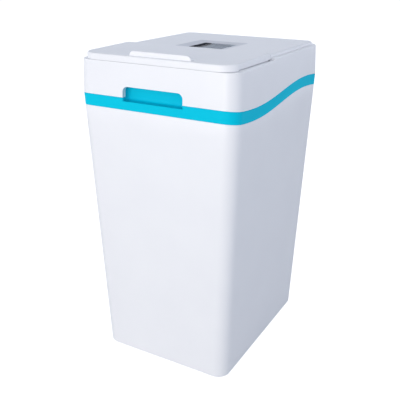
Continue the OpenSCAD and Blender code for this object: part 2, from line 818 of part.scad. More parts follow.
// A finger tab: an upright front face with rounded upper corners, and a top that slopes back to the lid
module tab(front) {
    sunk = lid_t / 2;
    rise = tab_rise + sunk;
    tab_chamfer = 1;
    intersection() {
        translate([tab_x, front + tab_len, cabinet_h - sunk]) rotate([90, 0, 0]) linear_extrude(tab_len) {
            translate([-tab_w / 2, 0]) square([tab_w, rise - tab_r]);
            translate([-tab_w / 2 + tab_r, 0]) square([tab_w - 2 * tab_r, rise]);
            for (s = [-1, 1]) translate([s * (tab_w / 2 - tab_r), rise - tab_r]) circle(tab_r);
        }
        translate([tab_x - tab_w / 2, front, cabinet_h - sunk]) rotate([90, 0, 90]) linear_extrude(tab_w)
            polygon([[0, 0], [tab_len, 0], [tab_len, sunk / 2], [tab_len / 5, rise],
                [tab_chamfer, rise], [0, rise - tab_chamfer]]);
    }
}

// Two steel pins, pressed into the cover's ears, that the lid turns on
module lid_hinge_pins() {
    inset = 0.5;
    length = ear_w + slide_fit + cheek_w - 2 * inset;
    color("silver") for (s = [-1, 1])
        translate([s * (deck_half_w - inset - length / 2) - length / 2, hinge_y, hinge_z]) along_x()
            cylinder(r = pin_r, h = length);
}

// Two rubber bumpers under the lid's front edge
module lid_bumpers() {
    y = lid_front + flange_w - bumper_r - 1;
    low = seam_z + eps;
    color("dimgray") for (s = [-1, 1]) translate([s * bumper_x, y, low])
        cylinder(r = bumper_r, h = cabinet_h - lid_t - low);
}

// The plate on the cabinet's back that closes the opening round the pipe connectors
module rear_panel() {
    color("whitesmoke") difference() {
        on_back_wall(0, port_z) translate([0, 0, seat_fit / 2])
            rounded_block(panel_w, panel_h, panel_t, panel_r);
        for (s = [-1, 1]) translate([s * port_x, 0, port_z]) along_y()
            cylinder(r = collar_r + panel_room, h = top_d);
        translate([drain_x, 0, port_z]) along_y() cylinder(r = drain_r + panel_room, h = top_d);
        on_back_wall(socket_x, port_z) translate([0, 0, -past])
            cylinder(r = socket_r + seat_fit, h = 3 * panel_t);
        on_back_wall(0, port_z) panel_screw_places()
            translate([0, 0, -past]) cylinder(r = screw_r + seat_fit, h = 3 * panel_t);
    }
}

// A round-headed screw that enters along -Z from the plane it stands on
module screw(length) {
    difference() {
        union() {
            cylinder(r = screw_head_r, h = screw_head_t);
            translate([0, 0, -length]) cylinder(r = screw_r, h = length);
        }
        for (a = [0, 90]) rotate(a) translate([0, 0, screw_head_t])
            cube([1.4 * screw_head_r, 0.9, screw_head_t], center = true);
    }
}

module panel_screws() {
    color("silver") on_back_wall(0, port_z) panel_screw_places()
        translate([0, 0, panel_t + seat_fit]) screw(panel_t + 2 * wall);
}

// The round low-voltage power inlet in the rear panel
module power_socket() {
    pin = 1;
    bore = 3;
    rim = 2.5;
    deep = socket_deep;
    color("dimgray") on_back_wall(socket_x, port_z) difference() {
        union() {
            translate([0, 0, -deep]) cylinder(r = socket_r, h = deep + panel_t + seat_fit);
            translate([0, 0, panel_t + seat_fit]) cylinder(r = socket_r + rim, h = rim);
        }
        difference() {
            translate([0, 0, -deep + rim]) cylinder(r = bore, h = 3 * deep);
            translate([0, 0, -deep]) cylinder(r = pin, h = deep + panel_t);
        }
    }
}

// The overflow: a flanged spigot through the back wall, a gasket inside it and a nut
module overflow_spigot() {
    color("whitesmoke") on_back_wall(overflow_x, overflow_z) difference() {
        union() {
            translate([0, 0, seat_fit]) cylinder(r = overflow_flange_r, h = overflow_flange_t);
            translate([0, 0, -overflow_in]) cylinder(r = overflow_r, h = overflow_in + overflow_out);
        }
        translate([0, 0, -overflow_in - past])
            cylinder(r = overflow_r - overflow_t, h = overflow_in + overflow_out + 2 * past);
    }
}

module overflow_gasket() {
    color("dimgray") on_back_wall(overflow_x, overflow_z) translate([0, 0, -wall - gasket_t - seat_fit])
        tube(overflow_flange_r, overflow_r + seat_fit, gasket_t);
}

module overflow_nut() {
    color("whitesmoke") on_back_wall(overflow_x, overflow_z)
        translate([0, 0, -wall - gasket_t - overflow_nut_t - 2 * seat_fit]) difference() {
            cylinder(r = overflow_flange_r, h = overflow_nut_t, $fn = 6);
            translate([0, 0, -past]) cylinder(r = overflow_r + seat_fit / 2, h = overflow_nut_t + 2 * past);
        }
}

// The black foot that holds the vessel's domed bottom upright
module vessel_foot() {
    color("dimgray") at_vessel() difference() {
        translate([0, 0, tank_floor]) tube(foot_r, foot_r - foot_t, foot_h);
        rotate_extrude() polygon(concat([[0, vessel_top]], vessel_outside(seat_fit)));
    }
}

// The glass-fibre pressure vessel
module resin_vessel() {
    color("steelblue") at_vessel() rotate_extrude()
        polygon(concat(vessel_outside(0), [[neck_r, vessel_top], [neck_bore_r, vessel_top]],
            vessel_inside(0, neck_bore_r)));
}

// The bed of ion-exchange resin, round the riser and its strainer
module resin_bed() {
    color("goldenrod") at_vessel() difference() {
        intersection() {
            rotate_extrude() polygon(concat(vessel_inside(seat_fit, 1), [[0, vessel_top]]));
            cylinder(r = vessel_r, h = vessel_top - bed_drop);
        }
        cylinder(r = riser_r + seat_fit, h = vessel_top);
        cylinder(r = strainer_r + seat_fit, h = strainer_low + strainer_h + seat_fit);
    }
}

module riser_tube() {
    low = strainer_low + strainer_h - strainer_socket;
    color("whitesmoke") at_vessel(low) tube(riser_r, riser_r - riser_t, valve_z + riser_grip - low);
}

// Ring-shaped slots cut into a strainer
module strainer_slots(r, low, high) {
    for (z = [low:slot_pitch:high]) translate([0, 0, z]) tube(r + past, r - slot_deep, slot_h);
}

module bottom_strainer() {
    color("whitesmoke") at_vessel(strainer_low) difference() {
        cylinder(r = strainer_r, h = strainer_h);
        translate([0, 0, strainer_floor]) cylinder(r = riser_r - riser_t, h = strainer_h);
        translate([0, 0, strainer_h - strainer_socket]) cylinder(r = riser_r, h = strainer_socket + past);
        strainer_slots(strainer_r, slot_margin, strainer_h - strainer_socket - slot_pitch);
    }
}

module top_strainer() {
    low = valve_z - neck_plug_h - top_strainer_h;
    color("whitesmoke") at_vessel(low) difference() {
        tube(top_strainer_r, riser_r + seat_fit, top_strainer_h - seat_fit);
        strainer_slots(top_strainer_r, slot_margin, top_strainer_h - slot_margin);
    }
}

// The valve body: it screws into the vessel's neck and holds the ports, the turbine and the disc chamber
module valve_body() {
    color("dimgray") difference() {
        union() {
            at_vessel(valve_z - neck_plug_h) cylinder(r = neck_bore_r - seat_fit, h = neck_plug_h + past);
            at_vessel(valve_z + seat_fit) cylinder(r = valve_r + skirt_w, h = skirt_h);
            at_vessel(valve_z + seat_fit) cylinder(r = valve_r, h = valve_h - seat_fit);
            for (s = [-1, 1]) translate([s * port_x, vessel_y, port_z]) along_y()
                cylinder(r = boss_r, h = boss_len);
            translate([0, vessel_y - valve_r - injector_len, port_z]) along_y()
                cylinder(r = injector_r, h = valve_r);
            for (s = [-1, 1]) translate([0, vessel_y, port_z]) rotate([0, s * 90, 0])
                cylinder(r = side_boss_r, h = side_end);
        }
        at_vessel(valve_z - neck_plug_h - past)
            cylinder(r = riser_r, h = neck_plug_h + riser_grip + 2 * past);
        at_vessel(valve_z) cylinder(r = riser_r - riser_t, h = chamber_z - valve_z + past);
        at_vessel(chamber_z) cylinder(r = chamber_r, h = plate_z);
        at_vessel(valve_z - seat_fit) tube(neck_seal_mid + neck_seal_r + seat_fit,
            neck_seal_mid - neck_seal_r - seat_fit, 2 * neck_seal_r + 2 * seat_fit);
        for (s = [-1, 1]) translate([s * port_x, 0, port_z]) {
            translate([0, turbine_y - 6, 0]) along_y() cylinder(r = port_bore_r, h = boss_len);
            translate([0, boss_end - spigot_len - seat_fit, 0]) along_y()
                cylinder(r = spigot_r + seat_fit, h = spigot_len + past);
            translate([0, boss_end - clip_reach, 0]) along_y()
                tube(boss_r + past, boss_r - collar_lap, clip_lip);
        }
        translate([port_x, turbine_y - 3, port_z]) along_y()
            cylinder(r = turbine_bore_r, h = boss_end - spigot_len - turbine_y + 3);
        translate([0, vessel_y - valve_r - injector_len - past, port_z]) along_y()
            cylinder(r = injector_bore_r, h = valve_r);
        injector_screw_places() translate([0, 0, -injector_len])
            cylinder(r = screw_r + run_fit, h = 2 * injector_len);
        for (s = [-1, 1]) translate([0, vessel_y, port_z]) rotate([0, s * 90, 0])
            translate([0, 0, side_end - side_plug - past])
                cylinder(r = side_bore_r, h = side_plug + 2 * past);
        plate_screw_places() translate([0, 0, plate_z - plate_screw_deep])
            cylinder(r = screw_r + run_fit, h = plate_screw_deep + past);
    }
}

module injector_screw_places() {
    for (s = [-1, 1]) translate([s * (injector_r - 4.5), vessel_y - valve_r - injector_len, port_z])
        rotate([90, 0, 0]) children();
}

module plate_screw_places() {
    for (a = [45:90:315]) at_vessel() rotate(a) translate([valve_r - 7, 0, 0]) children();
}

// The plate on top of the valve: it closes the disc chamber and carries the drive and the controller
module valve_top_plate() {
    color("gray") difference() {
        translate([0, housing_y, plate_z]) rounded_block(housing_w, housing_d, plate_t, housing_r);
        at_vessel(plate_z - past) cylinder(r = shaft_r + run_fit, h = plate_t + 2 * past);
        housing_post_places() translate([0, 0, plate_z - past])
            cylinder(r = screw_r + seat_fit, h = plate_t + 2 * past);
        plate_screw_places() translate([0, 0, plate_z - past])
            cylinder(r = screw_r + seat_fit, h = plate_t + 2 * past);
        plate_screw_places() translate([0, 0, housing_z - screw_head_t - past])
            cylinder(r = screw_head_r + seat_fit, h = plate_t);
    }
}

// The rubber ring between the vessel's neck and the valve
module neck_seal() {
    color("dimgray") at_vessel(valve_z + neck_seal_r) rotate_extrude()
        translate([neck_seal_mid, 0]) circle(neck_seal_r - eps);
}

// A pipe connector: spigot with a seal groove, collar, pipe and the thread outside the cabinet
module connector(x) {
    pipe_r = thread_r - thread_deep;
    nut_t = 4;
    color("whitesmoke") translate([x, 0, port_z]) difference() {
        union() {
            translate([0, boss_end - spigot_len, 0]) along_y()
                cylinder(r = spigot_r, h = spigot_len + past);
            translate([0, boss_end + seat_fit, 0]) along_y() cylinder(r = collar_r, h = collar_t);
            translate([0, boss_end, 0]) along_y()
                cylinder(r = pipe_r, h = thread_end - thread_len - boss_end);
            translate([0, thread_end - thread_len - nut_t, 0]) along_y()
                cylinder(r = collar_r - past, h = nut_t);
            translate([0, thread_end - thread_len, 0]) along_y() cylinder(r = thread_r, h = thread_len);
        }
        translate([0, boss_end - spigot_len - past, 0]) along_y() cylinder(r = port_bore_r, h = top_d);
        translate([0, boss_end - seal_back - seal_w / 2, 0]) along_y()
            tube(spigot_r + past, groove_r, seal_w);
    }
}

module inlet_connector() {
    connector(-port_x);
}

module outlet_connector() {
    connector(port_x);
}

// Open spring clips that hold each connector's collar against its boss
module connector_clips() {
    clip_t = 1.8;
    reach = clip_reach + collar_t + 2 * seat_fit + clip_lip;
    color("silver") for (s = [-1, 1]) translate([s * port_x, boss_end - clip_reach, port_z]) along_y()
        rotate(45) rotate_extrude(angle = 270) {
            translate([boss_r + seat_fit, 0]) square([clip_t, reach]);
            translate([boss_r - collar_lap + seat_fit, seat_fit / 2])
                square([collar_lap + clip_t, clip_lip - seat_fit]);
            translate([thread_r, reach - clip_lip]) square([boss_r - thread_r + clip_t, clip_lip]);
        }
}

module connector_seals() {
    color("dimgray") for (s = [-1, 1]) translate([s * port_x, boss_end - seal_back, port_z]) along_y()
        rotate_extrude() translate([groove_r + seal_r + eps, 0]) circle(seal_r);
}

// The ring and spokes in the outlet that hold the turbine's axle
module turbine_cage() {
    ring_t = 1.6;
    ring_len = 5;
    spokes = 3;
    at = boss_end - spigot_len - ring_len - 2 * seat_fit;
    color("whitesmoke") translate([port_x, at, port_z]) {
        along_y() tube(turbine_bore_r - run_fit, turbine_bore_r - ring_t, ring_len);
        along_y() cylinder(r = 2 * axle_r, h = ring_len);
        for (i = [0:spokes - 1]) rotate([0, 360 * i / spokes, 0]) translate([0, 0, -ring_t / 2])
            cube([turbine_bore_r - ring_t / 2, ring_len, ring_t]);
        translate([0, turbine_y - at - axle_r, 0]) along_y()
            cylinder(r = axle_r, h = at - turbine_y + 2 * axle_r);
    }
}

module flow_turbine() {
    hub_r = 3.2;
    blade_t = 1.2;
    blade_lean = 35;
    blades = 6;
    color("skyblue") translate([port_x, turbine_y, port_z]) along_y() difference() {
        union() {
            cylinder(r = hub_r, h = turbine_len);
            intersection() {
                cylinder(r = turbine_r, h = turbine_len);
                for (i = [0:blades - 1]) rotate(360 * i / blades) translate([hub_r - 1, 0, turbine_len / 2])
                    rotate([blade_lean, 0, 0]) translate([0, -blade_t / 2, -turbine_len / 2 + 1])
                        cube([turbine_r, blade_t, turbine_len - 2]);
            }
        }
        translate([0, 0, -past]) cylinder(r = axle_r + run_fit, h = turbine_len + 2 * past);
    }
}

// The cap over the injector on the valve's front, and its screws
module injector_cap() {
    color("gray") difference() {
        translate([0, vessel_y - valve_r - injector_len - seat_fit - injector_cap_t, port_z]) along_y()
            cylinder(r = injector_r + 1, h = injector_cap_t);
        injector_screw_places() cylinder(r = screw_r + seat_fit, h = 2 * injector_cap_t);
    }
}

module injector_screws() {
    color("silver") injector_screw_places() translate([0, 0, injector_cap_t + 2 * seat_fit])
        screw(injector_cap_t + injector_len / 2);
}

// The drain: an elbow from the valve's right side to a spigot behind the cabinet
module drain_spigot() {
    start = side_end + seat_fit;
    pipe_r = drain_r - drain_t / 4;
    collar_h = 4;
    bore = drain_r - drain_t;
    color("whitesmoke") translate([0, vessel_y, port_z]) difference() {
        union() {
            translate([start - side_plug, 0, 0]) along_x()
                cylinder(r = side_bore_r - run_fit, h = side_plug + past);
            translate([start, 0, 0]) along_x() cylinder(r = side_boss_r - past, h = collar_h);
            translate([start, 0, 0]) along_x() cylinder(r = pipe_r, h = drain_x - start);
            translate([drain_x, 0, 0]) sphere(pipe_r);
            translate([drain_x, 0, 0]) along_y() cylinder(r = pipe_r, h = thread_end - vessel_y);
            translate([drain_x, thread_end - vessel_y - drain_tail, 0]) along_y()
                cylinder(r = drain_r, h = drain_tail);
        }
        translate([start - side_plug - past, 0, 0]) along_x()
            cylinder(r = side_bore_r - drain_t, h = drain_x - start + side_plug + past);
        translate([drain_x, 0, 0]) along_y() cylinder(r = bore, h = top_d);
    }
}

// The fitting on the valve's left side that takes the brine line
module brine_fitting() {
    start = side_end + seat_fit;
    deep = fitting_len - seat_fit;
    color("whitesmoke") translate([0, vessel_y, port_z]) mirror([1, 0, 0]) difference() {
        union() {
            translate([start - side_plug, 0, 0]) along_x()
                cylinder(r = side_bore_r - run_fit, h = side_plug + past);
            translate([start, 0, 0]) along_x() cylinder(r = side_boss_r - past, h = deep / 2, $fn = 6);
            translate([start, 0, 0]) along_x() cylinder(r = line_r + socket_t, h = deep);
        }
        translate([start - side_plug - past, 0, 0]) along_x()
            cylinder(r = line_r - line_wall, h = fitting_len + side_plug);
        translate([start + deep - line_grip - seat_fit, 0, 0]) along_x()
            cylinder(r = line_r + seat_fit, h = line_grip + past);
    }
}

// The flexible tube from the valve to the brine valve, held at both ends
module brine_line() {
    outer = [for (spot = line_spots) line_ring(spot, line_r)];
    inner = [for (spot = reverse(line_spots)) line_ring(spot, line_r - line_wall)];
    color("whitesmoke") loft(concat(outer, inner), loop = true);
}

// The two ceramic discs whose openings make the valve's positions
module disc_ports() {
    ports = 6;
    for (i = [0:ports - 1]) rotate(360 * i / ports) translate([0.62 * disc_r, 0, -past])
        cylinder(r = disc_r / 6, h = disc_t + 2 * past);
}

module fixed_disc() {
    color("linen") at_vessel(chamber_z + seat_fit) difference() {
        cylinder(r = disc_r, h = disc_t);
        disc_ports();
    }
}

module moving_disc() {
    color("linen") at_vessel(chamber_z + disc_t + 2 * seat_fit) difference() {
        cylinder(r = disc_r, h = disc_t);
        disc_ports();
    }
}

module disc_shaft() {
    low = chamber_z + 2 * disc_t + 2 * seat_fit;
    color("silver") at_vessel() {
        translate([0, 0, low]) cylinder(r = shaft_r, h = gear_z + gear_t - low);
        translate([0, 0, low]) cylinder(r = disc_r / 2, h = plate_z - slide_fit - low);
    }
}

// An involute spur gear's outline, with a tooth centred on +X
function involute(base, angle) = let (turn = angle * PI / 180)
    base * [cos(angle) + turn * sin(angle), sin(angle) - turn * cos(angle)];
function roll_to(base, r) = sqrt(max(r * r / base / base - 1, 0)) * 180 / PI;
function turn2(p, a) = [p[0] * cos(a) - p[1] * sin(a), p[0] * sin(a) + p[1] * cos(a)];
function gear_outline(teeth) = let (pitch_r = gear_module * teeth / 2, base = pitch_r * cos(pressure_angle),
    tip = pitch_r + gear_module, root = pitch_r - 1.25 * gear_module,
    start = roll_to(base, max(base, root)), end = roll_to(base, tip),
    pitch_roll = roll_to(base, pitch_r), pitch_point = involute(base, pitch_roll),
    half_tooth = 90 / teeth - backlash / 2 / pitch_r * 180 / PI,
    lean = -half_tooth - atan2(pitch_point[1], pitch_point[0]),
    low = [for (i = [0:flank_steps]) turn2(involute(base, start + (end - start) * i / flank_steps), lean)],
    high = [for (p = reverse(low)) [p[0], -p[1]]],
    foot = root < base ? [turn2([root, 0], atan2(low[0][1], low[0][0]))] : [],
    foot_end = [for (p = foot) [p[0], -p[1]]],
    tooth = concat(foot, low, high, foot_end))
    [for (i = [0:teeth - 1]) for (p = tooth) turn2(p, 360 * i / teeth)];

module main_gear() {
    hub_h = 4;
    hub_r = shaft_r + 5;
    web_r = gear_module * (gear_teeth / 2 - 4);
    web_sink = 2;
    color("whitesmoke") at_vessel(gear_z) difference() {
        union() {
            rotate(-90) linear_extrude(gear_t) polygon(gear_outline(gear_teeth));
            translate([0, 0, -hub_h]) cylinder(r = hub_r, h = hub_h + past);
        }
        translate([0, 0, -hub_h - past]) cylinder(r = shaft_r, h = gear_t + hub_h + 2 * past);
        for (z = [-past, gear_t - web_sink]) translate([0, 0, z]) tube(web_r, hub_r, web_sink + past);
    }
}

module motor_pinion() {
    color("whitesmoke") translate([0, pinion_y, gear_z]) union() {
        rotate(90 + 180 / pinion_teeth) linear_extrude(gear_t) polygon(gear_outline(pinion_teeth));
        cylinder(r = motor_shaft_r, h = bracket_z + bracket_t + motor_grip - gear_z);
    }
}

module drive_motor() {
    color("silver") translate([0, pinion_y, bracket_z + bracket_t + eps]) difference() {
        union() {
            cylinder(r = motor_r, h = motor_h);
            translate([0, 0, motor_h]) cylinder(r = motor_r / 3, h = motor_r / 5);
        }
        translate([0, 0, -past]) cylinder(r = motor_shaft_r + run_fit, h = motor_grip + 2 * past);
    }
}

// The bridge that holds the motor over the gears
module motor_bracket() {
    span = motor_r + 10;
    leg_r = 4;
    color("gray") translate([0, pinion_y, housing_z]) difference() {
        union() {
            translate([0, 0, bracket_z - housing_z])
                rounded_block(2 * (span + leg_r), 2 * motor_r, bracket_t, leg_r);
            for (s = [-1, 1]) translate([s * span, -motor_r / 2, 0])
                cylinder(r = leg_r, h = bracket_z - housing_z + past);
        }
        translate([0, 0, bracket_z - housing_z - past]) cylinder(r = leg_r, h = bracket_t + 2 * past);
    }
}

// The controller's hood over the drive, with a raised face that fills the deck's window
module controller_housing() {
    color("gainsboro") difference() {
        union() {
            translate([0, housing_y, housing_z + eps])
                rounded_block(housing_w, housing_d, housing_top - housing_z - eps, housing_r);
            at_face(housing_top - past) rounded_block(face_w, face_d, face_z - housing_top + past, face_r);
        }
        difference() {
            translate([0, housing_y, housing_z - past])
                rounded_block(housing_w - 2 * housing_t, housing_d - 2 * housing_t,
                    housing_top - housing_t - housing_z + past, housing_r - housing_t);
            housing_post_places() translate([0, 0, housing_z]) cylinder(r = post_r, h = post_h);
            stake_places() translate([0, 0, board_z]) cylinder(r = stake_boss_r, h = housing_top - board_z);
            stake_places() translate([0, 0, board_z - 2 * board_t]) cylinder(r = stake_r, h = 4 * board_t);
        }
        housing_post_places() translate([0, 0, housing_z - past])
            cylinder(r = screw_r + run_fit, h = post_h - past);
        at_face(housing_top - housing_t - past)
            rounded_block(opening_w - 2 * shelf_w, opening_d - 2 * shelf_w,
                face_z - housing_top + 2 * housing_t, face_r - face_wall);
        at_face(face_z - lens_t - seat_fit)
            rounded_block(opening_w + seat_fit, opening_d + seat_fit, lens_t + past, face_r - face_wall);
        at_face(housing_top - housing_t - past)
            rounded_block(opening_w, opening_d, face_z - lens_t - shelf_t - housing_top + housing_t + past,
                face_r - face_wall);
    }
}

module housing_screws() {
    length = plate_t + 2 * post_h / 3;
    color("silver") housing_post_places() translate([0, 0, plate_z - seat_fit]) mirror([0, 0, 1])
        screw(length);
}

// The circuit board under the display, with a switch below each key
module control_board() {
    color("darkgreen") difference() {
        union() {
            at_face(board_z - board_t) rounded_block(board_w, board_d, board_t - eps, board_r);
            for (i = [0:key_count - 1]) translate([keypad_x, key_y(i), board_z + switch_h / 2 - eps])
                cube([switch_w, switch_w, switch_h], center = true);
        }
        stake_places() translate([0, 0, board_z - 2 * board_t])
            cylinder(r = stake_r + seat_fit, h = 4 * board_t);
    }
}

// The display module, between the lens and the board
module lcd_module() {
    w = lens_w - 3 * shelf_w;
    d = opening_d - 2 * shelf_w - 2 * slide_fit;
    low = board_z + past;
    corner = 1;
    color("slategray") translate([lens_x - shelf_w / 2, window_back, low])
        rounded_block(w, d, face_z - lens_t - seat_fit - low, corner);
}

module display_lens() {
    color("lightslategray") translate([lens_x, window_back, face_z - lens_t])
        rounded_block(lens_w, opening_d, lens_t, face_r - face_wall);
}

// The dark strip that the keys stand in
module keypad_frame() {
    color("black") difference() {
        translate([keypad_x, window_back, face_z - lens_t])
            rounded_block(keypad_w, opening_d, lens_t, face_r - face_wall);
        for (i = [0:key_count - 1]) translate([keypad_x, key_y(i), face_z - lens_t - past])
            rounded_block(key_w + 2 * slide_fit, key_d + 2 * slide_fit, lens_t + 2 * past,
                key_corner_r + slide_fit);
    }
}

// A key: a cap through the strip, a lip that stops it from below, and a stem over its switch
module key(i) {
    stem_low = board_z + switch_h + key_travel + seat_fit;
    color("dimgray") translate([keypad_x, key_y(i), 0]) {
        translate([0, 0, key_lip_z - key_lip_t])
            rounded_block(key_w, key_d, face_z + key_rise - key_lip_z + key_lip_t, key_corner_r);
        translate([0, 0, key_lip_z - key_lip_t])
            rounded_block(key_w + 2 * key_lip, key_d + 2 * key_lip, key_lip_t, key_corner_r);
        translate([0, 0, stem_low]) cylinder(r = key_stem_r, h = key_lip_z - stem_low - key_lip_t + past);
    }
}

module key_menu() {
    key(3);
}

module key_up() {
    key(2);
}

module key_down() {
    key(1);
}

module key_set() {
    key(0);
}

// The upright tube that keeps salt away from the brine valve, slotted at its foot
module brine_well() {
    slot_w = 3;
    slot_len = 60;
    slots = 10;
    color("whitesmoke") at_well(tank_floor) difference() {
        tube(well_r, well_r - well_t, well_h);
        for (i = [0:slots - 1]) rotate(360 * i / slots) translate([0, -slot_w / 2, well_slot_low])
            cube([2 * well_r, slot_w, slot_len]);
        translate([0, 0, stub_z - tank_floor]) along_y() cylinder(r = stub_r + seat_fit, h = 2 * well_r);
    }
}

module well_cap() {
    outer = well_r + slide_fit + 2;
    knob_r = 8;
    color("whitesmoke") at_well(well_top) {
        translate([0, 0, seat_fit]) cylinder(r = outer, h = cap_t);
        translate([0, 0, -cap_skirt]) tube(outer, well_r + slide_fit, cap_skirt + seat_fit + eps);
        translate([0, 0, seat_fit + cap_t - eps]) cylinder(r1 = knob_r, r2 = knob_r - 2, h = knob_r);
    }
}

// The safety brine valve at the top of the well, with its stub through the well's wall
module brine_valve() {
    color("dimgray") at_well() difference() {
        union() {
            translate([0, 0, brine_valve_z]) cylinder(r = brine_valve_r, h = brine_valve_h);
            translate([0, 0, stub_z]) along_y() cylinder(r = stub_r, h = well_r + stub_len);
        }
        translate([rod_x, 0, brine_valve_z - past])
            cylinder(r = rod_r + run_fit, h = rod_grip + float_travel + 3 * past);
        translate([pickup_x, 0, brine_valve_z - past]) cylinder(r = pickup_r, h = pickup_grip + 2 * past);
        translate([0, pickup_r, stub_z]) along_y() cylinder(r = stub_bore_r, h = 2 * well_r);
        translate([0, well_r + stub_len - line_grip - seat_fit, stub_z]) along_y()
            cylinder(r = line_r + seat_fit, h = line_grip + past);
    }
}

module pickup_tube() {
    low = cage_low + cage_h - cage_grip;
    color("whitesmoke") at_well(low) translate([pickup_x, 0, 0])
        tube(pickup_r, pickup_r - pickup_t, brine_valve_z + pickup_grip - low);
}

module brine_float() {
    color("whitesmoke") at_well(float_z) translate([rod_x, 0, 0]) tube(float_r, rod_r, float_h);
}

module float_rod() {
    color("silver") at_well(brine_valve_z + rod_grip - rod_len) translate([rod_x, 0, 0])
        cylinder(r = rod_r, h = rod_len);
}

// The cage at the foot of the pickup tube, whose ball stops air being drawn in
module air_check_cage() {
    room = ball_r + 1;
    slots = 6;
    slot_w = 2;
    color("whitesmoke") at_well(cage_low) translate([pickup_x, 0, 0]) difference() {
        cylinder(r = cage_r, h = cage_h);
        translate([0, 0, cage_t]) cylinder(r = room, h = cage_h - cage_grip - 2 * cage_t);
        translate([0, 0, cage_h - cage_grip]) cylinder(r = pickup_r, h = cage_grip + past);
        translate([0, 0, cage_h / 2]) cylinder(r = pickup_r - pickup_t, h = cage_h);
        for (i = [0:slots - 1]) rotate(360 * i / slots) translate([0, -slot_w / 2, 2 * cage_t])
            cube([2 * cage_r, slot_w, cage_h / 3]);
    }
}

module air_check_ball() {
    color("orange") at_well(cage_low + cage_t + ball_r + run_fit) translate([pickup_x, 0, 0])
        sphere(ball_r);
}

brine_tank();
trim_band();
pocket_liner();
top_cover();
window_bezel();
salt_lid();
lid_hinge_pins();
lid_bumpers();
rear_panel();
panel_screws();
power_socket();
overflow_spigot();
overflow_nut();
overflow_gasket();
vessel_foot();
resin_vessel();
resin_bed();
riser_tube();
bottom_strainer();
top_strainer();
valve_body();
valve_top_plate();
neck_seal();
inlet_connector();
outlet_connector();
connector_clips();
connector_seals();
turbine_cage();
flow_turbine();
injector_cap();
injector_screws();
drain_spigot();
brine_fitting();
brine_line();
fixed_disc();
moving_disc();
disc_shaft();
main_gear();
motor_pinion();
drive_motor();
motor_bracket();
controller_housing();
housing_screws();
control_board();
lcd_module();
display_lens();
keypad_frame();
key_menu();
key_up();
key_down();
key_set();
brine_well();
well_cap();
brine_valve();
pickup_tube();
brine_float();
float_rod();
air_check_cage();
air_check_ball();
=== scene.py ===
import bmesh
import bpy
import numpy as np
from mathutils import Matrix, Vector


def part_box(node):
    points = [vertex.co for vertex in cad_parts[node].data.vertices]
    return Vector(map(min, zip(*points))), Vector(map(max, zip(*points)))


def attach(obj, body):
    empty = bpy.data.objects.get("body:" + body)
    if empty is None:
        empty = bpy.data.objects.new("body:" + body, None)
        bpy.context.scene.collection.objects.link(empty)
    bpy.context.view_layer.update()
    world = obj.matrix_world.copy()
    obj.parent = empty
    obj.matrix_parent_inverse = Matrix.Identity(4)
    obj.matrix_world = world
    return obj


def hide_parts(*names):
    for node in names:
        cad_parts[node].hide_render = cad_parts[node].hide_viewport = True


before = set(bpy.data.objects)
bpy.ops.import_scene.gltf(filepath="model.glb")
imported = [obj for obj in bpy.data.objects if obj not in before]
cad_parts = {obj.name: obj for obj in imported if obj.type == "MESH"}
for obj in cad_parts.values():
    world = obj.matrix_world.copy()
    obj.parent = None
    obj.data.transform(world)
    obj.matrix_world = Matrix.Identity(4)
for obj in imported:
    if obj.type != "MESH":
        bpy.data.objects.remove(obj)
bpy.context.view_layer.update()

# Brine tank: the tapered white tank that stands on the floor and holds the salt, moulded in one piece of
# ABS. Its wall steps in at the top to a lip inside the band and the cover, and its back is open round the
# pipes. Sizes are in millimetres. The plan is centred on the origin, and the front faces -y.
MM = 0.001
base_half = np.array([149.0, 190.5])
band_half = np.array([171.5, 208.0])
corner_r = 27.0
least_r = 2.0  # no inner ring has tighter corners
band_up_z = 575.2
wave_up = 9.8
wave_half = 224.0
cover_draft = 0.037


def wave(y):
    """The wave along the cabinet's sides, from -1 to 1: a sine of the distance behind the middle."""
    return np.sin(np.pi * y / wave_half)


front_up_z = band_up_z + wave_up * wave(-band_half[1])


def ring_columns(front_x, back_x, side_share, steps=14):
    """One column for each point of a ring round the cabinet, counter-clockwise seen from above. A column
    holds the corner or side it belongs to as shares of the plan's straight half-lengths, the way its
    corner arc faces, and the x where it stays, which is nan on the corners and sides."""
    turn = np.linspace(0, np.pi / 2, steps + 1)

    def corner(quarter):
        way = turn + quarter * np.pi / 2
        middle = (quarter + 0.5) * np.pi / 2
        share = np.tile(np.sign([np.cos(middle), np.sin(middle)]), (len(way), 1))
        return np.column_stack([share, np.cos(way), np.sin(way), np.nan * way])

    def level(x, side):
        return np.column_stack([0 * x, 0 * x + side, 0 * x, 0 * x + side, x])

    def upright(share, side):
        return np.column_stack([0 * share + side, share, 0 * share + side, 0 * share, np.nan * share])

    return np.vstack([
        corner(0), level(back_x[::-1], 1), corner(1), upright(side_share[::-1], -1),
        corner(2), level(front_x, -1), corner(3), upright(side_share, 1),
    ])


def both_sides(x):
    """Places across the cabinet: the middle, and the given ones to its left and its right."""
    return np.concatenate([-np.array(x)[::-1], [0], x])


def column_y(columns):
    """Where a column stands from front to back, level with the band."""
    _, share_y, _, way_y, _ = columns.T
    return share_y * (band_half[1] - corner_r) + corner_r * way_y


def ring_points(columns, inset, height):
    """A rounded rectangle for each inset and height: its half-lengths grow in proportion to the height up
    to the band's wavy upper edge, and shrink by the draft above it."""
    share_x, share_y, way_x, way_y, fixed_x = columns.T
    kink = band_up_z + wave_up * wave(column_y(columns))
    lean = (band_half - base_half) / front_up_z
    half = [b + g * np.minimum(height, kink) - cover_draft * np.maximum(height - kink, 0)
            for b, g in zip(base_half, lean)]
    r = np.maximum(corner_r - inset, least_r)
    x = share_x * (half[0] - inset - r) + r * way_x
    y = share_y * (half[1] - inset - r) + r * way_y
    x = np.where(np.isnan(fixed_x), x, fixed_x)
    return np.stack([x, y, np.broadcast_to(height, x.shape)], axis=-1)


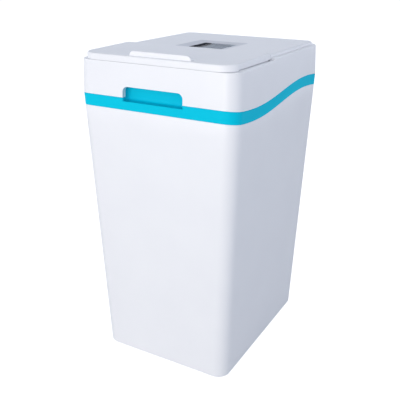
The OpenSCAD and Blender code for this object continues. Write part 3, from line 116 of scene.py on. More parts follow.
def wavy_rows(columns, rows):
    """Rings for rows of inset, height, swing of the wave and share of the plan's size, where a share of 0
    draws the ring in to a pole."""
    inset, height, swing, share = (rows[:, k, None] for k in range(4))
    points = ring_points(columns, inset, height + swing * wave(column_y(columns)))
    points[..., :2] *= share[..., None]
    return points


def straight_rows(inset, height):
    """Rows for wavy_rows with no wave, at the plan's full size."""
    return np.column_stack([inset + 0 * height, height, 0 * height, 0 * height + 1])


def grid_quads(rows, cols, loop_rows=False, loop_cols=True):
    """The quads of a grid of points, as an array of rows by columns by four. They face out where the rows
    climb and the columns run counter-clockwise."""
    i = np.arange(rows if loop_rows else rows - 1)[:, None]
    j = np.arange(cols if loop_cols else cols - 1)[None, :]
    up, on = (i + 1) % rows, (j + 1) % cols
    return np.stack([i * cols + j, i * cols + on, up * cols + on, up * cols + j], axis=-1)


def within(columns, half_w, side):
    """Which quads, from each column to the next, lie within a half-width on the front (-1) or back (1)."""
    x = columns[:, 4]
    return (np.abs(x + np.roll(x, -1)) / 2 < half_w) & (columns[:, 1] * side > 0)


def shell(outer, inner, quads):
    """A skin with thickness: the outer points with their quads, the inner points with the same quads
    turned round, and a rim of quads from one to the other along each edge that belongs to one quad only.
    Points in one place count as one when those edges are found."""
    count = outer.size // 3
    quads = quads.reshape(-1, 4)
    start, end = quads.ravel(), np.roll(quads, -1, axis=1).ravel()
    same = np.unique(np.round(outer.reshape(-1, 3), 3), axis=0, return_inverse=True)[1].ravel()
    first, last = same[start], same[end]
    free = (first != last) & ~np.isin(last * count + first, first * count + last)
    rim = np.column_stack([end, start, start + count, end + count])[free]
    points = np.concatenate([outer.reshape(-1, 3), inner.reshape(-1, 3)])
    return points, np.concatenate([quads, quads[:, ::-1] + count, rim])


def lathe(profile, centre, steps=72):
    """A closed profile of radius and height turned about an upright axis."""
    a = np.linspace(0, 2 * np.pi, steps, endpoint=False)
    r, z = (profile[:, k, None] for k in (0, 1))
    points = np.stack([centre[0] + r * np.cos(a), centre[1] + r * np.sin(a), z + 0 * a], axis=-1)
    return points, grid_quads(len(profile), steps, loop_rows=True)


def capped(rows):
    """Rings with both ends closed: the end rings are added again, drawn in to their middles."""
    ends = [rows[k].mean(0) + 0 * rows[k] for k in (0, -1)]
    return np.concatenate([ends[:1], rows, ends[1:]])


def slab(low, high):
    """A plain block between two corners: a ring of its four upright edges at foot and top, capped."""
    x, y = np.array([0, 1, 1, 0]), np.array([0, 0, 1, 1])
    size = np.array(high) - low
    ring = np.column_stack([low[0] + size[0] * x, low[1] + size[1] * y, 0 * x + low[2]])
    rows = capped(np.stack([ring, ring + [0, 0, size[2]]]))
    return rows, grid_quads(*rows.shape[:2])


def put(name, parts, finish, sharp=32.0, meet=0.002):
    """Makes a piece from closed surfaces, each given as points in millimetres and quads. Points that meet
    are merged, and edges sharper than the given angle in degrees stay crisp."""
    starts = np.cumsum([0] + [points.size // 3 for points, _ in parts])
    points = np.concatenate([points.reshape(-1, 3) for points, _ in parts]) * MM
    quads = np.concatenate([q.reshape(-1, 4) + s for (_, q), s in zip(parts, starts)])
    mesh = bpy.data.meshes.new(name)
    mesh.from_pydata(points.tolist(), [], quads.tolist())
    joined = bmesh.new()
    joined.from_mesh(mesh)
    bmesh.ops.remove_doubles(joined, verts=joined.verts, dist=meet * MM)
    joined.to_mesh(mesh)
    joined.free()
    mesh.polygons.foreach_set("use_smooth", np.ones(len(mesh.polygons), bool))
    mesh.set_sharp_from_angle(angle=np.radians(sharp))
    mesh.materials.append(finish)
    piece = bpy.data.objects.new(name, mesh)
    bpy.context.scene.collection.objects.link(piece)
    return piece


def linear(hex_colour):
    """An sRGB hex colour as linear red, green, blue and alpha."""
    s = np.array([int(hex_colour[k:k + 2], 16) for k in (1, 3, 5)]) / 255
    return (*np.where(s > 0.04045, ((s + 0.055) / 1.055) ** 2.4, s / 12.92), 1.0)


def plug(tree, node, inputs):
    """Sets a node's inputs to values, or links them to the outputs of other nodes."""
    for socket, value in inputs.items():
        if isinstance(value, bpy.types.NodeSocket):
            tree.links.new(value, node.inputs[socket])
        else:
            node.inputs[socket].default_value = value


def add_node(tree, kind, inputs=None, **settings):
    """Adds a shader node with its settings, and sets or links its inputs."""
    made = tree.nodes.new("ShaderNode" + kind)
    for key, value in settings.items():
        setattr(made, key, value)
    plug(tree, made, inputs or {})
    return made


def new_finish(name):
    """A new material, with its tree, its shader and the place on the piece that its patterns read."""
    made = bpy.data.materials.new(name)
    made.use_nodes = True
    tree = made.node_tree
    return made, tree, tree.nodes["Principled BSDF"], add_node(tree, "TexCoord").outputs["Object"]


def moulded_plastic(name, colour, shade, roughness, grain_mm=1.2, depth_mm=0.02, cloud_mm=90.0, ior=1.53,
                    **sockets):
    """Plastic from a spark-eroded mould: a fine even grain that softens its gloss, and a faint cloudiness
    between two close colours where the melt cooled unevenly. A real grain is a few tenths of a millimetre
    across, and is drawn coarser here so that it shows."""
    gloss_spread, bump_strength = 0.05, 0.35
    made, tree, shader, place = new_finish(name)
    cloud = add_node(tree, "TexNoise", {"Vector": place, "Scale": 1 / (cloud_mm * MM), "Detail": 2.0})
    tint = add_node(tree, "MixRGB", {"Fac": cloud.outputs["Fac"], "Color1": linear(colour),
                                     "Color2": linear(shade)})
    grain = add_node(tree, "TexNoise", {"Vector": place, "Scale": 1 / (grain_mm * MM), "Detail": 3.0})
    gloss = add_node(tree, "MapRange", {"Value": grain.outputs["Fac"], "To Min": roughness - gloss_spread,
                                        "To Max": roughness + gloss_spread})
    bump = add_node(tree, "Bump", {"Height": grain.outputs["Fac"], "Strength": bump_strength,
                                   "Distance": depth_mm * MM})
    plug(tree, shader, {"Base Color": tint.outputs["Color"], "Roughness": gloss.outputs["Result"],
                        "Normal": bump.outputs["Normal"], "IOR": ior})
    plug(tree, shader, {socket.replace("_", " "): value for socket, value in sockets.items()})
    return made


# White ABS from a lightly grained mould: a cool white with a soft, even sheen.
white_abs = moulded_plastic("moulded_white_abs", "#f4f5f8", "#eff0f4", 0.36)
band_low_z = 551.6
wave_low = 9.9
band_t = 3.0
slide_fit = 0.4
tank_wall = 3.2
tank_floor = 7.0
edge_flat = 1.0  # a narrow flat row before each rounding
foot_edge_r = 2.5
foot_rim = 12.0
foot_recess = 2.5
recess_in = foot_edge_r + foot_rim
recess_slope = 1.0
floor_cove_r = 5.0
step_bevel = 0.4
lip_seat = band_t + slide_fit
lip_t = 2.4
lip_z = band_up_z + 8.0
lip_ramp = 8.0
pocket_half_w = 65.5
liner_t = 2.0
liner_half_w = pocket_half_w + 2.5
notch_half_w = liner_half_w + liner_t + 0.5
notch_z = band_up_z - 10.0
opening_half_w = 81.0
opening_z = (460.0, 518.0)
end_x = 100.0  # the last columns of the front and the back, short of the corners
# Columns along the sides stand closer together next to the corners, where the cover's rim steps down.
side_share = np.concatenate([[-0.995, -0.985, -0.975], np.linspace(-0.95, 0.95, 39), [0.975, 0.99]])
tank_columns = ring_columns(both_sides([25, 50, notch_half_w, 84, end_x]),
                            both_sides([27, 54, opening_half_w, end_x]), side_share)
edge_turn = np.linspace(0, np.pi / 2, 9)
wall_z = np.array([14, 100, 200, 300, 400, 440, *opening_z])
tank_outer = np.vstack([
    [[recess_in + recess_slope, foot_recess, 0, 0], [recess_in + recess_slope, foot_recess, 0, 1],
     [recess_in, 0, 0, 1], [foot_edge_r + edge_flat, 0, 0, 1]],
    straight_rows(foot_edge_r * (1 - np.sin(edge_turn)), foot_edge_r * (1 - np.cos(edge_turn))),
    straight_rows(0, wall_z),
    [[0, band_low_z - edge_flat, wave_low, 1], [step_bevel, band_low_z, wave_low, 1],
     [lip_seat, band_low_z, wave_low, 1], [lip_seat, notch_z, wave_up, 1], [lip_seat, lip_z, wave_up, 1]],
])
ramp_z = band_low_z - 2 * lip_ramp
tank_inner = np.vstack([
    [[recess_in + recess_slope, tank_floor, 0, 0], [recess_in + recess_slope, tank_floor, 0, 1],
     [recess_in, tank_floor, 0, 1], [tank_wall + floor_cove_r + edge_flat, tank_floor, 0, 1]],
    straight_rows(tank_wall + floor_cove_r * (1 - np.sin(edge_turn)),
                  tank_floor + floor_cove_r * (1 - np.cos(edge_turn))),
    straight_rows(tank_wall, wall_z),
    [[tank_wall, ramp_z - edge_flat, wave_low, 1], [tank_wall, ramp_z, wave_low, 1],
     [lip_seat + lip_t, ramp_z + lip_ramp, wave_low, 1], [lip_seat + lip_t, notch_z, wave_up, 1],
     [lip_seat + lip_t, lip_z, wave_up, 1]],
])
tank_quads = grid_quads(len(tank_outer), len(tank_columns))
row_z = tank_outer[:, 1]
in_opening = (row_z[:-1] >= opening_z[0]) & (row_z[1:] <= opening_z[1])
in_notch = (row_z[:-1] >= notch_z) & (tank_outer[:-1, 0] == lip_seat)
tank_cut = ((in_opening[:, None] & within(tank_columns, opening_half_w, 1))
            | (in_notch[:, None] & within(tank_columns, notch_half_w, -1)))
tank_parts = [shell(wavy_rows(tank_columns, tank_outer), wavy_rows(tank_columns, tank_inner),
                    tank_quads[~tank_cut])]
# Two rings on the floor hold the vessel's foot and the brine well, and ribs cross the underside.
vessel_axis = np.array([0.0, 80.3])
vessel_ring_r = 96.2
well_axis = np.array([-102.075, -131.514])
well_ring_r = 32.2
ring_w = 3.0
ring_bevel = 1.0
ring_top = tank_floor + 5.0
sunk_z = tank_floor - 1.0
for axis, ring_in in ((vessel_axis, vessel_ring_r), (well_axis, well_ring_r)):
    ring_out = ring_in + ring_w
    tank_parts.append(lathe(np.array([
        [ring_in, sunk_z], [ring_out, sunk_z], [ring_out, ring_top - ring_bevel],
        [ring_out - ring_bevel, ring_top], [ring_in, ring_top]]), axis))
rib_half_w = 10.0
rib_top = foot_recess + 0.1
rib_x, rib_y = base_half - recess_in
for low, high in (((-rib_half_w, -rib_y), (rib_half_w, rib_y)),
                  ((-rib_x, -rib_half_w), (-rib_half_w, rib_half_w)),
                  ((rib_half_w, -rib_half_w), (rib_x, rib_half_w))):
    tank_parts.append(slab([*low, 0], [*high, rib_top]))
tank = put("brine_tank_shell", tank_parts, white_abs)
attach(tank, "cabinet")
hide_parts("brine_tank")

# Overflow and rear panel: a moulded plate screwed over the opening in the tank's back, with the
# low-voltage inlet, and a flanged overflow spigot held through the wall by a gasket and a nut. Textured
# ABS is duller than the tank's, glass-filled nylon black and grainy, and nitrile rubber quite matt.
panel_abs = moulded_plastic("textured_white_abs", "#eceef1", "#e6e8ec", 0.5, grain_mm=1.6, depth_mm=0.05)
black_nylon = moulded_plastic("black_glass_filled_nylon", "#17181a", "#1e2022", 0.55, grain_mm=0.9,
                              depth_mm=0.04)
nitrile = moulded_plastic("black_nitrile_rubber", "#161616", "#1d1d1c", 0.8, grain_mm=2.0, depth_mm=0.05)


def dress(finish, *nodes):
    """Gives a finish to the solids of the frame that are shown as they are."""
    for node in nodes:
        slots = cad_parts[node].data.materials
        slots.clear()
        slots.append(finish)


def turned_steel(name, colour, roughness, line_mm=0.6, depth_mm=0.01):
    """Stainless steel from a lathe or a press: fine lines round the piece that spread its highlights one
    way. The lines are noise stretched along x and y, drawn coarser than real tool marks to show."""
    stretch, gloss_spread, bump_strength = 0.08, 0.08, 0.2
    made, tree, shader, place = new_finish(name)
    thin = add_node(tree, "Mapping", {"Vector": place, "Scale": (stretch, stretch, 1.0)})
    lines = add_node(tree, "TexNoise", {"Vector": thin.outputs["Vector"], "Scale": 1 / (line_mm * MM),
                                        "Detail": 2.0})
    gloss = add_node(tree, "MapRange", {"Value": lines.outputs["Fac"], "To Min": roughness - gloss_spread,
                                        "To Max": roughness + gloss_spread})
    bump = add_node(tree, "Bump", {"Height": lines.outputs["Fac"], "Strength": bump_strength,
                                   "Distance": depth_mm * MM})
    plug(tree, shader, {"Base Color": linear(colour), "Metallic": 1.0, "Roughness": gloss.outputs["Result"],
                        "Normal": bump.outputs["Normal"]})
    return made


steel = turned_steel("stainless_steel", "#c3c5c7", 0.3)
dress(panel_abs, "rear_panel", "overflow_spigot", "overflow_nut")
dress(black_nylon, "power_socket")
dress(steel, "panel_screws")
dress(nitrile, "overflow_gasket")

# Resin vessel: a pressure vessel wound from glass fibre under a blue gel coat, standing in a black moulded
# foot. It holds the bed of amber resin beads, the riser tube and its two slotted strainers.
winding_mm = 9.0
winding_turns = 24.0


def wound_fibre(name, colour, shade, relief_mm=0.15):
    """Glass fibre wound in two crossing helices: the lines of each follow a sine of the angle round the
    vessel plus or minus the height, and show as a faint diamond relief under the gel coat."""
    made, tree, shader, place = new_finish(name)
    centred = add_node(tree, "Mapping", {"Vector": place, "Location": (*(-vessel_axis * MM), 0.0)})
    round_share = add_node(tree, "TexGradient", {"Vector": centred.outputs["Vector"]},
                           gradient_type="RADIAL")
    height = add_node(tree, "SeparateXYZ", {"Vector": place}).outputs["Z"]
    climb = add_node(tree, "Math", {0: height, 1: 2 * np.pi / (winding_mm * MM)},
                     operation="MULTIPLY").outputs[0]
    swing = add_node(tree, "Math", {0: round_share.outputs["Fac"], 1: 2 * np.pi * winding_turns},
                     operation="MULTIPLY").outputs[0]
    helices = []
    for way in ("ADD", "SUBTRACT"):
        phase = add_node(tree, "Math", {0: swing, 1: climb}, operation=way).outputs[0]
        helices.append(add_node(tree, "Math", {0: phase}, operation="SINE").outputs[0])
    weave = add_node(tree, "Math", {0: helices[0], 1: helices[1]}, operation="MAXIMUM").outputs[0]
    tint = add_node(tree, "MixRGB", {"Fac": weave, "Color1": linear(shade), "Color2": linear(colour)})
    bump = add_node(tree, "Bump", {"Height": weave, "Strength": 0.4, "Distance": relief_mm * MM})
    plug(tree, shader, {"Base Color": tint.outputs["Color"], "Normal": bump.outputs["Normal"],
                        "Roughness": 0.28, "IOR": 1.55})
    return made


# Natural polypropylene is milky and lets a little light in. Resin beads, about half a millimetre across,
# are drawn three times as coarse so that they show as a rough amber grain.
natural_pp = moulded_plastic("natural_polypropylene", "#e9e8e2", "#e2e1d9", 0.42, ior=1.49,
                             Subsurface_Weight=0.15, Subsurface_Scale=2 * MM)
resin_beads = moulded_plastic("amber_resin_beads", "#b8741e", "#8a4f10", 0.4, grain_mm=1.5, depth_mm=0.6,
                              cloud_mm=3.0)
dress(black_nylon, "vessel_foot")
dress(wound_fibre("wound_glass_fibre", "#2f6ea8", "#23588c"), "resin_vessel")
dress(resin_beads, "resin_bed")
dress(natural_pp, "riser_tube", "bottom_strainer", "top_strainer")

# Control valve: a black glass-filled body screwed into the vessel's neck, with two clipped pipe
# connectors, the injector under its cap, the drain elbow and the fitting of the brine line. Acetal is
# smooth and slightly glossy, the polyethylene tube hazy and half clear, and lapped alumina cream white.
grey_nylon = moulded_plastic("grey_glass_filled_nylon", "#55585c", "#4c4f53", 0.5, grain_mm=0.9,
                             depth_mm=0.04)
turbine_blue = moulded_plastic("blue_acetal", "#4f9bd6", "#4590cc", 0.35)
clear_tube = moulded_plastic("translucent_polyethylene", "#d9dee0", "#d2d8db", 0.3, Transmission_Weight=0.35)
alumina = moulded_plastic("lapped_alumina", "#f0ece2", "#ebe6da", 0.25, grain_mm=0.5, depth_mm=0.005,
                          ior=1.76)
dress(black_nylon, "valve_body")
dress(grey_nylon, "valve_top_plate", "injector_cap")
dress(natural_pp, "inlet_connector", "outlet_connector", "drain_spigot", "brine_fitting", "turbine_cage")
dress(steel, "connector_clips", "injector_screws")
dress(nitrile, "neck_seal", "connector_seals")
dress(turbine_blue, "flow_turbine")
dress(clear_tube, "brine_line")
dress(alumina, "fixed_disc", "moving_disc")

# Valve drive: a small geared motor in a steel case, on a moulded bridge over the gears. Its pinion turns
# the moulded main gear, which sits on the steel shaft of the moving disc.
dress(steel, "disc_shaft", "drive_motor")
dress(natural_pp, "main_gear", "motor_pinion")
dress(grey_nylon, "motor_bracket")

# Controller: a pale grey hood over the drive. Its raised face carries a liquid-crystal display under a
# clear acrylic lens and a black strip with four keys, and fills the window of the cover's deck. The keys'
# silicone and the strip's polycarbonate are matt and nearly black, and the blank display is slate grey.
pale_abs = moulded_plastic("pale_grey_abs", "#e2e4eb", "#dcdfe6", 0.45, grain_mm=1.4, depth_mm=0.04)
key_silicone = moulded_plastic("dark_silicone_keys", "#1d2230", "#191e2a", 0.7, Specular_IOR_Level=0.15)
matt_black = moulded_plastic("matt_black_polycarbonate", "#14161e", "#12141b", 0.7, Specular_IOR_Level=0.15)
solder_mask = moulded_plastic("green_solder_mask", "#1a5a30", "#123f22", 0.35, cloud_mm=4.0)
lcd_glass = moulded_plastic("grey_liquid_crystal", "#495568", "#424e60", 0.4, Specular_IOR_Level=0.1)


def acrylic(name, colour, roughness, haze_mm=25.0):
    """A clear cast acrylic window whose coating cuts its reflections, which the low IOR stands for. Slow
    noise spreads a slight haze over it."""
    haze_spread = 0.04
    made, tree, shader, place = new_finish(name)
    haze = add_node(tree, "TexNoise", {"Vector": place, "Scale": 1 / (haze_mm * MM), "Detail": 3.0})
    gloss = add_node(tree, "MapRange", {"Value": haze.outputs["Fac"], "To Min": roughness,
                                        "To Max": roughness + haze_spread})
    plug(tree, shader, {"Base Color": linear(colour), "Roughness": gloss.outputs["Result"],
                        "Transmission Weight": 1.0, "IOR": 1.03})
    return made


dress(pale_abs, "controller_housing")
dress(steel, "housing_screws")
dress(solder_mask, "control_board")
dress(lcd_glass, "lcd_module")
dress(acrylic("clear_acrylic", "#e8eef2", 0.02), "display_lens")
dress(matt_black, "keypad_frame")
dress(key_silicone, "key_menu", "key_up", "key_down", "key_set")

# Brine well: an upright slotted tube in the salt, under a push-on cap. In it hang the brine valve with its
# float, and a pickup tube whose caged ball shuts when the brine runs out.
ball_pp = moulded_plastic("orange_polypropylene", "#d9772b", "#cf6d22", 0.4)
dress(natural_pp, "brine_well", "well_cap", "pickup_tube", "brine_float", "air_check_cage")
dress(black_nylon, "brine_valve")
dress(steel, "float_rod")
dress(ball_pp, "air_check_ball")

# Trim band: a ring of cyan ABS clipped round the tank's lip. Both its edges wave along the sides, and it
# is cut away in front for the finger pocket.
seat_fit = 0.2
pocket_top = band_up_z + 19.0
pocket_low = band_up_z - 9.0
# Cyan ABS from a fine matt mould: strong even colour with almost no highlights.
cyan_abs = moulded_plastic("moulded_cyan_abs", "#00cbe6", "#00c4e1", 0.5, Specular_IOR_Level=0.06)
band_columns = ring_columns(both_sides([33, pocket_half_w, end_x]), np.linspace(-end_x, end_x, 7),
                            side_share)
floor_row = 2  # the ring of the band at the pocket's floor


def band_rows(inset):
    """Rings of the band: its lower edge, the height of the pocket's floor and its upper edge. Both edges
    are softened on the outer skin."""
    soft, faces_front = 0.5, -0.99
    side_wave = wave(column_y(band_columns))
    low = band_low_z + seat_fit + wave_low * side_wave
    high = band_up_z - seat_fit + wave_up * side_wave
    floor = low + (pocket_low - band_low_z) / (band_up_z - band_low_z) * (high - low)
    floor = np.where(band_columns[:, 1] < 0, np.minimum(floor, pocket_low), floor)
    floor = np.where(band_columns[:, 3] < faces_front, pocket_low, floor)
    height = np.stack([low, low + soft, floor, high - soft, high])
    edge = np.array([soft, 0, 0, 0, soft])[:, None]
    return ring_points(band_columns, inset + (edge if inset == 0 else 0 * edge), height)


band_skin = band_rows(0)
band_quads = grid_quads(*band_skin.shape[:2])
above_floor = np.arange(len(band_quads)) >= floor_row
band_kept = ~(above_floor[:, None] & within(band_columns, pocket_half_w, -1))
band = put("trim_band_ring", [shell(band_skin, band_rows(band_t), band_quads[band_kept])], cyan_abs)
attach(band, "cabinet")
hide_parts("trim_band")

# Pocket liner: a cyan ABS tray behind the band, open to the front and above, that stands on the tank's
# lip. Fingers reach over it to lift the cover.
pocket_face = -189.9
liner_top = pocket_top + 6.0
liner_step_z = front_up_z + 6.0
liner_front = -band_half[1] + band_t + 0.1
liner_corner_r = 5.0
liner_cove_r = 4.5
liner_across = np.linspace(-1, 1, 13)
cover_clear = 1.6


def liner_walls(out):
    """The liner's three walls: a path from the front round the back to the front again, each of its points
    carried down from the top and in along a cove to the floor. The skin lies the given distance outside
    the pocket's face, and the front ends stand back above the band, clear of the cover."""
    turn = np.linspace(0, np.pi / 2, 9)
    corner_x, corner_y = liner_corner_r - liner_half_w, pocket_face - liner_corner_r
    side_y = np.linspace(liner_front, corner_y, 4)[:-1]
    middle_x = -corner_x * liner_across[1:-1]
    left = np.vstack([
        np.column_stack([0 * side_y + corner_x, side_y, 0 * side_y - 1, 0 * side_y]),
        np.column_stack([0 * turn + corner_x, 0 * turn + corner_y, -np.cos(turn), np.sin(turn)])])
    middle = np.column_stack([middle_x, 0 * middle_x + corner_y, 0 * middle_x, 0 * middle_x + 1])
    path_x, path_y, way_x, way_y = np.vstack([left, middle, (left * [-1, 1, -1, 1])[::-1]]).T
    cove_r = liner_cove_r + out
    inset = np.concatenate([[-out, -out], liner_cove_r - cove_r * np.cos(turn)])[:, None]
    height = np.concatenate([[liner_top, liner_step_z],
                             pocket_low + liner_cove_r - cove_r * np.sin(turn)])[:, None]
    reach = liner_corner_r - inset
    points = np.stack([path_x + reach * way_x, path_y + reach * way_y, height + 0 * path_x], axis=-1)
    points[:, [0, -1], 1] += np.where(height > front_up_z, cover_clear, 0)
    return points, len(left)


def liner_skin(out):
    """The walls, and the floor as level lines from one foot of the walls to the other."""
    walls, side = liner_walls(out)
    foot = walls[-1, :side, None]
    share = (1 - liner_across[:, None]) / 2
    floor = foot * share + foot * [-1, 1, 1] * (1 - share)
    return np.concatenate([walls.reshape(-1, 3), floor.reshape(-1, 3)]), walls.shape[:2], floor.shape[:2]


liner_points, walls_shape, floor_shape = liner_skin(0.0)
wall_quads = grid_quads(*walls_shape, loop_cols=False).reshape(-1, 4)
floor_quads = grid_quads(*floor_shape, loop_cols=False).reshape(-1, 4)[:, ::-1]
liner_quads = np.concatenate([wall_quads, floor_quads + walls_shape[0] * walls_shape[1]])
liner = put("pocket_liner_tray", [shell(liner_skin(liner_t)[0], liner_points, liner_quads)], cyan_abs)
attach(liner, "cabinet")
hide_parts("pocket_liner")

# Top cover: a white ABS moulding that lifts off the tank. Its walls rise from the band to a ledge round
# the salt hatch and the raised rear deck, which has the display's window, and two ears hold the lid's
# hinge pins.
deck_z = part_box("top_cover")[1].z / MM
ledge_z = deck_z - 11.0
back_ledge_z = deck_z - 6.5
seam_z = deck_z - 12.2
cover_t = 3.0
rim_r = 3.0
front_rim_r = 0.6
rim_flat = 0.5
flange_w = 16.0
front_cut = -178.5
slot_in = 6.6
slot_y = (-59.5, -43.2)
slot_edge = 0.05
near = 0.02  # how exactly a column is met at the slots
pocket_r = 11.0
pocket_turn = np.linspace(0, np.pi / 2, 9)
pocket_x = pocket_half_w - pocket_r + pocket_r * np.sin(pocket_turn)
slot_share = np.array([slot_y[0], slot_y[1], slot_y[1] + slot_edge]) / (band_half[1] - corner_r)
cover_columns = ring_columns(both_sides([18, 36, *pocket_x, end_x]), np.linspace(-end_x, end_x, 7),
                             np.sort(np.concatenate([side_share, slot_share])))


def cover_rows(inset):
    """Rings of the cover's wall. Two steps climb past the finger pocket, whose rounded upper corners lift
    the second step's foot along an arc, and then the wall goes up to the rim, over it and in along the
    ledge."""
    x, y = cover_columns[:, 4], column_y(cover_columns)
    low = band_up_z + seat_fit + wave_up * wave(y)
    shoulder = low + pocket_top - pocket_r - front_up_z - seat_fit
    top = shoulder + pocket_r
    beside = np.abs(np.where(np.isnan(x), pocket_half_w, x)) - pocket_half_w + pocket_r
    arch = np.sqrt(pocket_r ** 2 - np.clip(beside, 0, pocket_r) ** 2)
    foot = shoulder + np.where(cover_columns[:, 1] < 0, arch, 0)
    ledge = np.select([y < front_cut, y < slot_y[1] + near], [seam_z, ledge_z], back_ledge_z)
    rim = np.where(y < front_cut, front_rim_r, rim_r)
    rise = np.linspace(0, 1, 4)[1:, None]
    wall = top + rise * (ledge - rim - edge_flat - top)
    turn = np.linspace(0, np.pi / 2, 6)[:, None]
    height = np.vstack([low, shoulder, foot, (foot + top) / 2, top, wall, ledge - rim + rim * np.sin(turn),
                        ledge, ledge, ledge])
    tuck = np.vstack([np.zeros((5 + len(wall), len(y))), rim * (1 - np.cos(turn)), rim + rim_flat,
                      0 * rim + slot_in - inset, 0 * rim + flange_w])
    drop = np.where(tuck > rim / 2, inset, 0)
    return ring_points(cover_columns, np.minimum(tuck + inset, flange_w), height - drop)


# The wall is open at the finger pocket, and the ledge's inner edge at slots for the lid's rear corners.
cover_skin = cover_rows(0.0)
cover_quads = grid_quads(*cover_skin.shape[:2])
cover_kept = np.ones(cover_quads.shape[:2], bool)
cover_kept[:2] = ~within(cover_columns, pocket_half_w, -1)
cover_kept[2:4] = ~within(cover_columns, pocket_half_w - pocket_r, -1)
cover_y = column_y(cover_columns)
pair_y = np.sort([cover_y, np.roll(cover_y, -1)], axis=0)
cover_kept[-1] = (pair_y[0] < slot_y[0] - near) | (pair_y[1] > slot_y[1] + near)
return_t = 1.5
return_front = -205.4
return_back = -198.5


def pocket_return():
    """The cover's edge turned in round the finger pocket: the outline of the pocket, up one side, round
    two corners and down the other, carried back from the wall."""
    turn = np.linspace(np.pi, np.pi / 2, 9)
    depth = np.linspace(return_front, return_back, 3)[:, None]
    corner = np.array([pocket_r - pocket_half_w, pocket_top - pocket_r])
    skins = []
    for out in (0.0, return_t):
        arc = corner + (pocket_r + out) * np.column_stack([np.cos(turn), np.sin(turn)])
        left = np.vstack([[-pocket_half_w - out, front_up_z + seat_fit], arc])
        x, z = np.vstack([left, (left * [-1, 1])[::-1]]).T
        skins.append(np.stack([x + 0 * depth, depth + 0 * x, z + 0 * depth], axis=-1))
    return shell(*skins, grid_quads(len(depth), len(x), loop_cols=False)[..., ::-1])


pin_r = 2.0
hinge_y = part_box("lid_hinge_pins")[0].y / MM + pin_r
hinge_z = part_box("lid_hinge_pins")[0].z / MM + pin_r
lid_rise = np.array([0.8, 3.3])
lid_gap = 0.8
nose_r = deck_z + lid_rise[1] - hinge_z
deck_half_w = 161.0
deck_front = hinge_y + nose_r + lid_gap
deck_back = 197.5
deck_corner_r = 19.0
deck_front_r = 2.0
deck_edge_r = 5.0
deck_flat = 1.5
deck_foot_z = ledge_z - 4.0
window_half = np.array([58.2, 54.7])
window_y = 21.5
window_r = 4.2


def box_ring(half_w, front, back, front_r, back_r, height, steps=10):
    """A level rounded rectangle, counter-clockwise from above, with one radius at its front and one at its
    back."""
    turn = np.linspace(0, np.pi / 2, steps + 1)
    quarter = np.repeat(np.arange(4), len(turn))
    way = np.tile(turn, 4) + quarter * np.pi / 2
    r = np.where(quarter < 2, back_r, front_r)
    x = np.where((quarter == 0) | (quarter == 3), half_w - r, r - half_w)
    y = np.where(quarter < 2, back - r, front + r)
    return np.column_stack([x + r * np.cos(way), y + r * np.sin(way), np.full(len(way), height)])


def window_ring(half, r, height):
    """A level rounded rectangle about the middle of the display's window."""
    return box_ring(half[0], window_y - half[1], window_y + half[1], r, r, height)


def deck_rows(inset):
    """Rings of the deck: up its wall, round its edge and in over the top to the window. Along the front the
    rounding has only a share of its width."""
    front_share, sharpest_r, past_wall = 0.3, 0.5, 1.0
    turn = np.linspace(0, np.pi / 2, 8)
    tuck = np.concatenate([[0, 0], deck_edge_r * (1 - np.cos(turn)), [deck_edge_r + deck_flat]])
    height = np.concatenate([[deck_foot_z, deck_z - deck_edge_r - edge_flat],
                             deck_z - deck_edge_r * (1 - np.sin(turn)), [deck_z]])
    rings = [box_ring(deck_half_w - t - inset, deck_front + front_share * t + inset, deck_back - t - inset,
                      max(deck_front_r - inset, sharpest_r), max(deck_corner_r - t - inset, least_r),
                      h - (inset if t > past_wall else 0))
             for t, h in zip(tuck, height)]
    hole = [window_ring(window_half + g, window_r + g, deck_z - inset) for g in (deck_flat, 0.0)]
    return np.stack(rings + hole)


def about_hinge(x, reach, turn):
    """Points at places across the lid, each a reach from the hinge axis and turned up from the back."""
    return np.stack([x + 0 * turn, hinge_y + reach * np.cos(turn), hinge_z + reach * np.sin(turn)], axis=-1)


def hinge_cheek(x0, x1, r, soft=0.4):
    """A round cheek about the hinge axis, between two places across the lid, with softened rims."""
    turn = np.linspace(0, 2 * np.pi, 32, endpoint=False)
    reach = np.array([0, r - soft, r, r, r - soft, 0])[:, None]
    rows = about_hinge(np.array([x0, x0, x0 + soft, x1 - soft, x1, x1])[:, None], reach, turn)
    return rows, grid_quads(*rows.shape[:2])


# The ears stand beside the lid's rear edge, and a wall hangs between them below the deck's front edge.
deck_skin = deck_rows(0.0)
ear_r = deck_z - hinge_z
ear_in = deck_half_w - 8.0
ear_out = deck_half_w - 3.0
hatch_wall_low = ledge_z - 40.0
hatch_wall = slab([-ear_in, deck_front + slide_fit, hatch_wall_low],
                  [ear_in, deck_front + cover_t, deck_z - edge_flat])
cover = put("top_cover_shell", [
    shell(cover_skin, cover_rows(cover_t), cover_quads[cover_kept]),
    shell(deck_skin, deck_rows(cover_t), grid_quads(*deck_skin.shape[:2])),
    hinge_cheek(-ear_out, -ear_in, ear_r), hinge_cheek(ear_in, ear_out, ear_r), hatch_wall, pocket_return(),
], white_abs)
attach(cover, "cover")
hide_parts("top_cover")
dress(steel, "lid_hinge_pins")

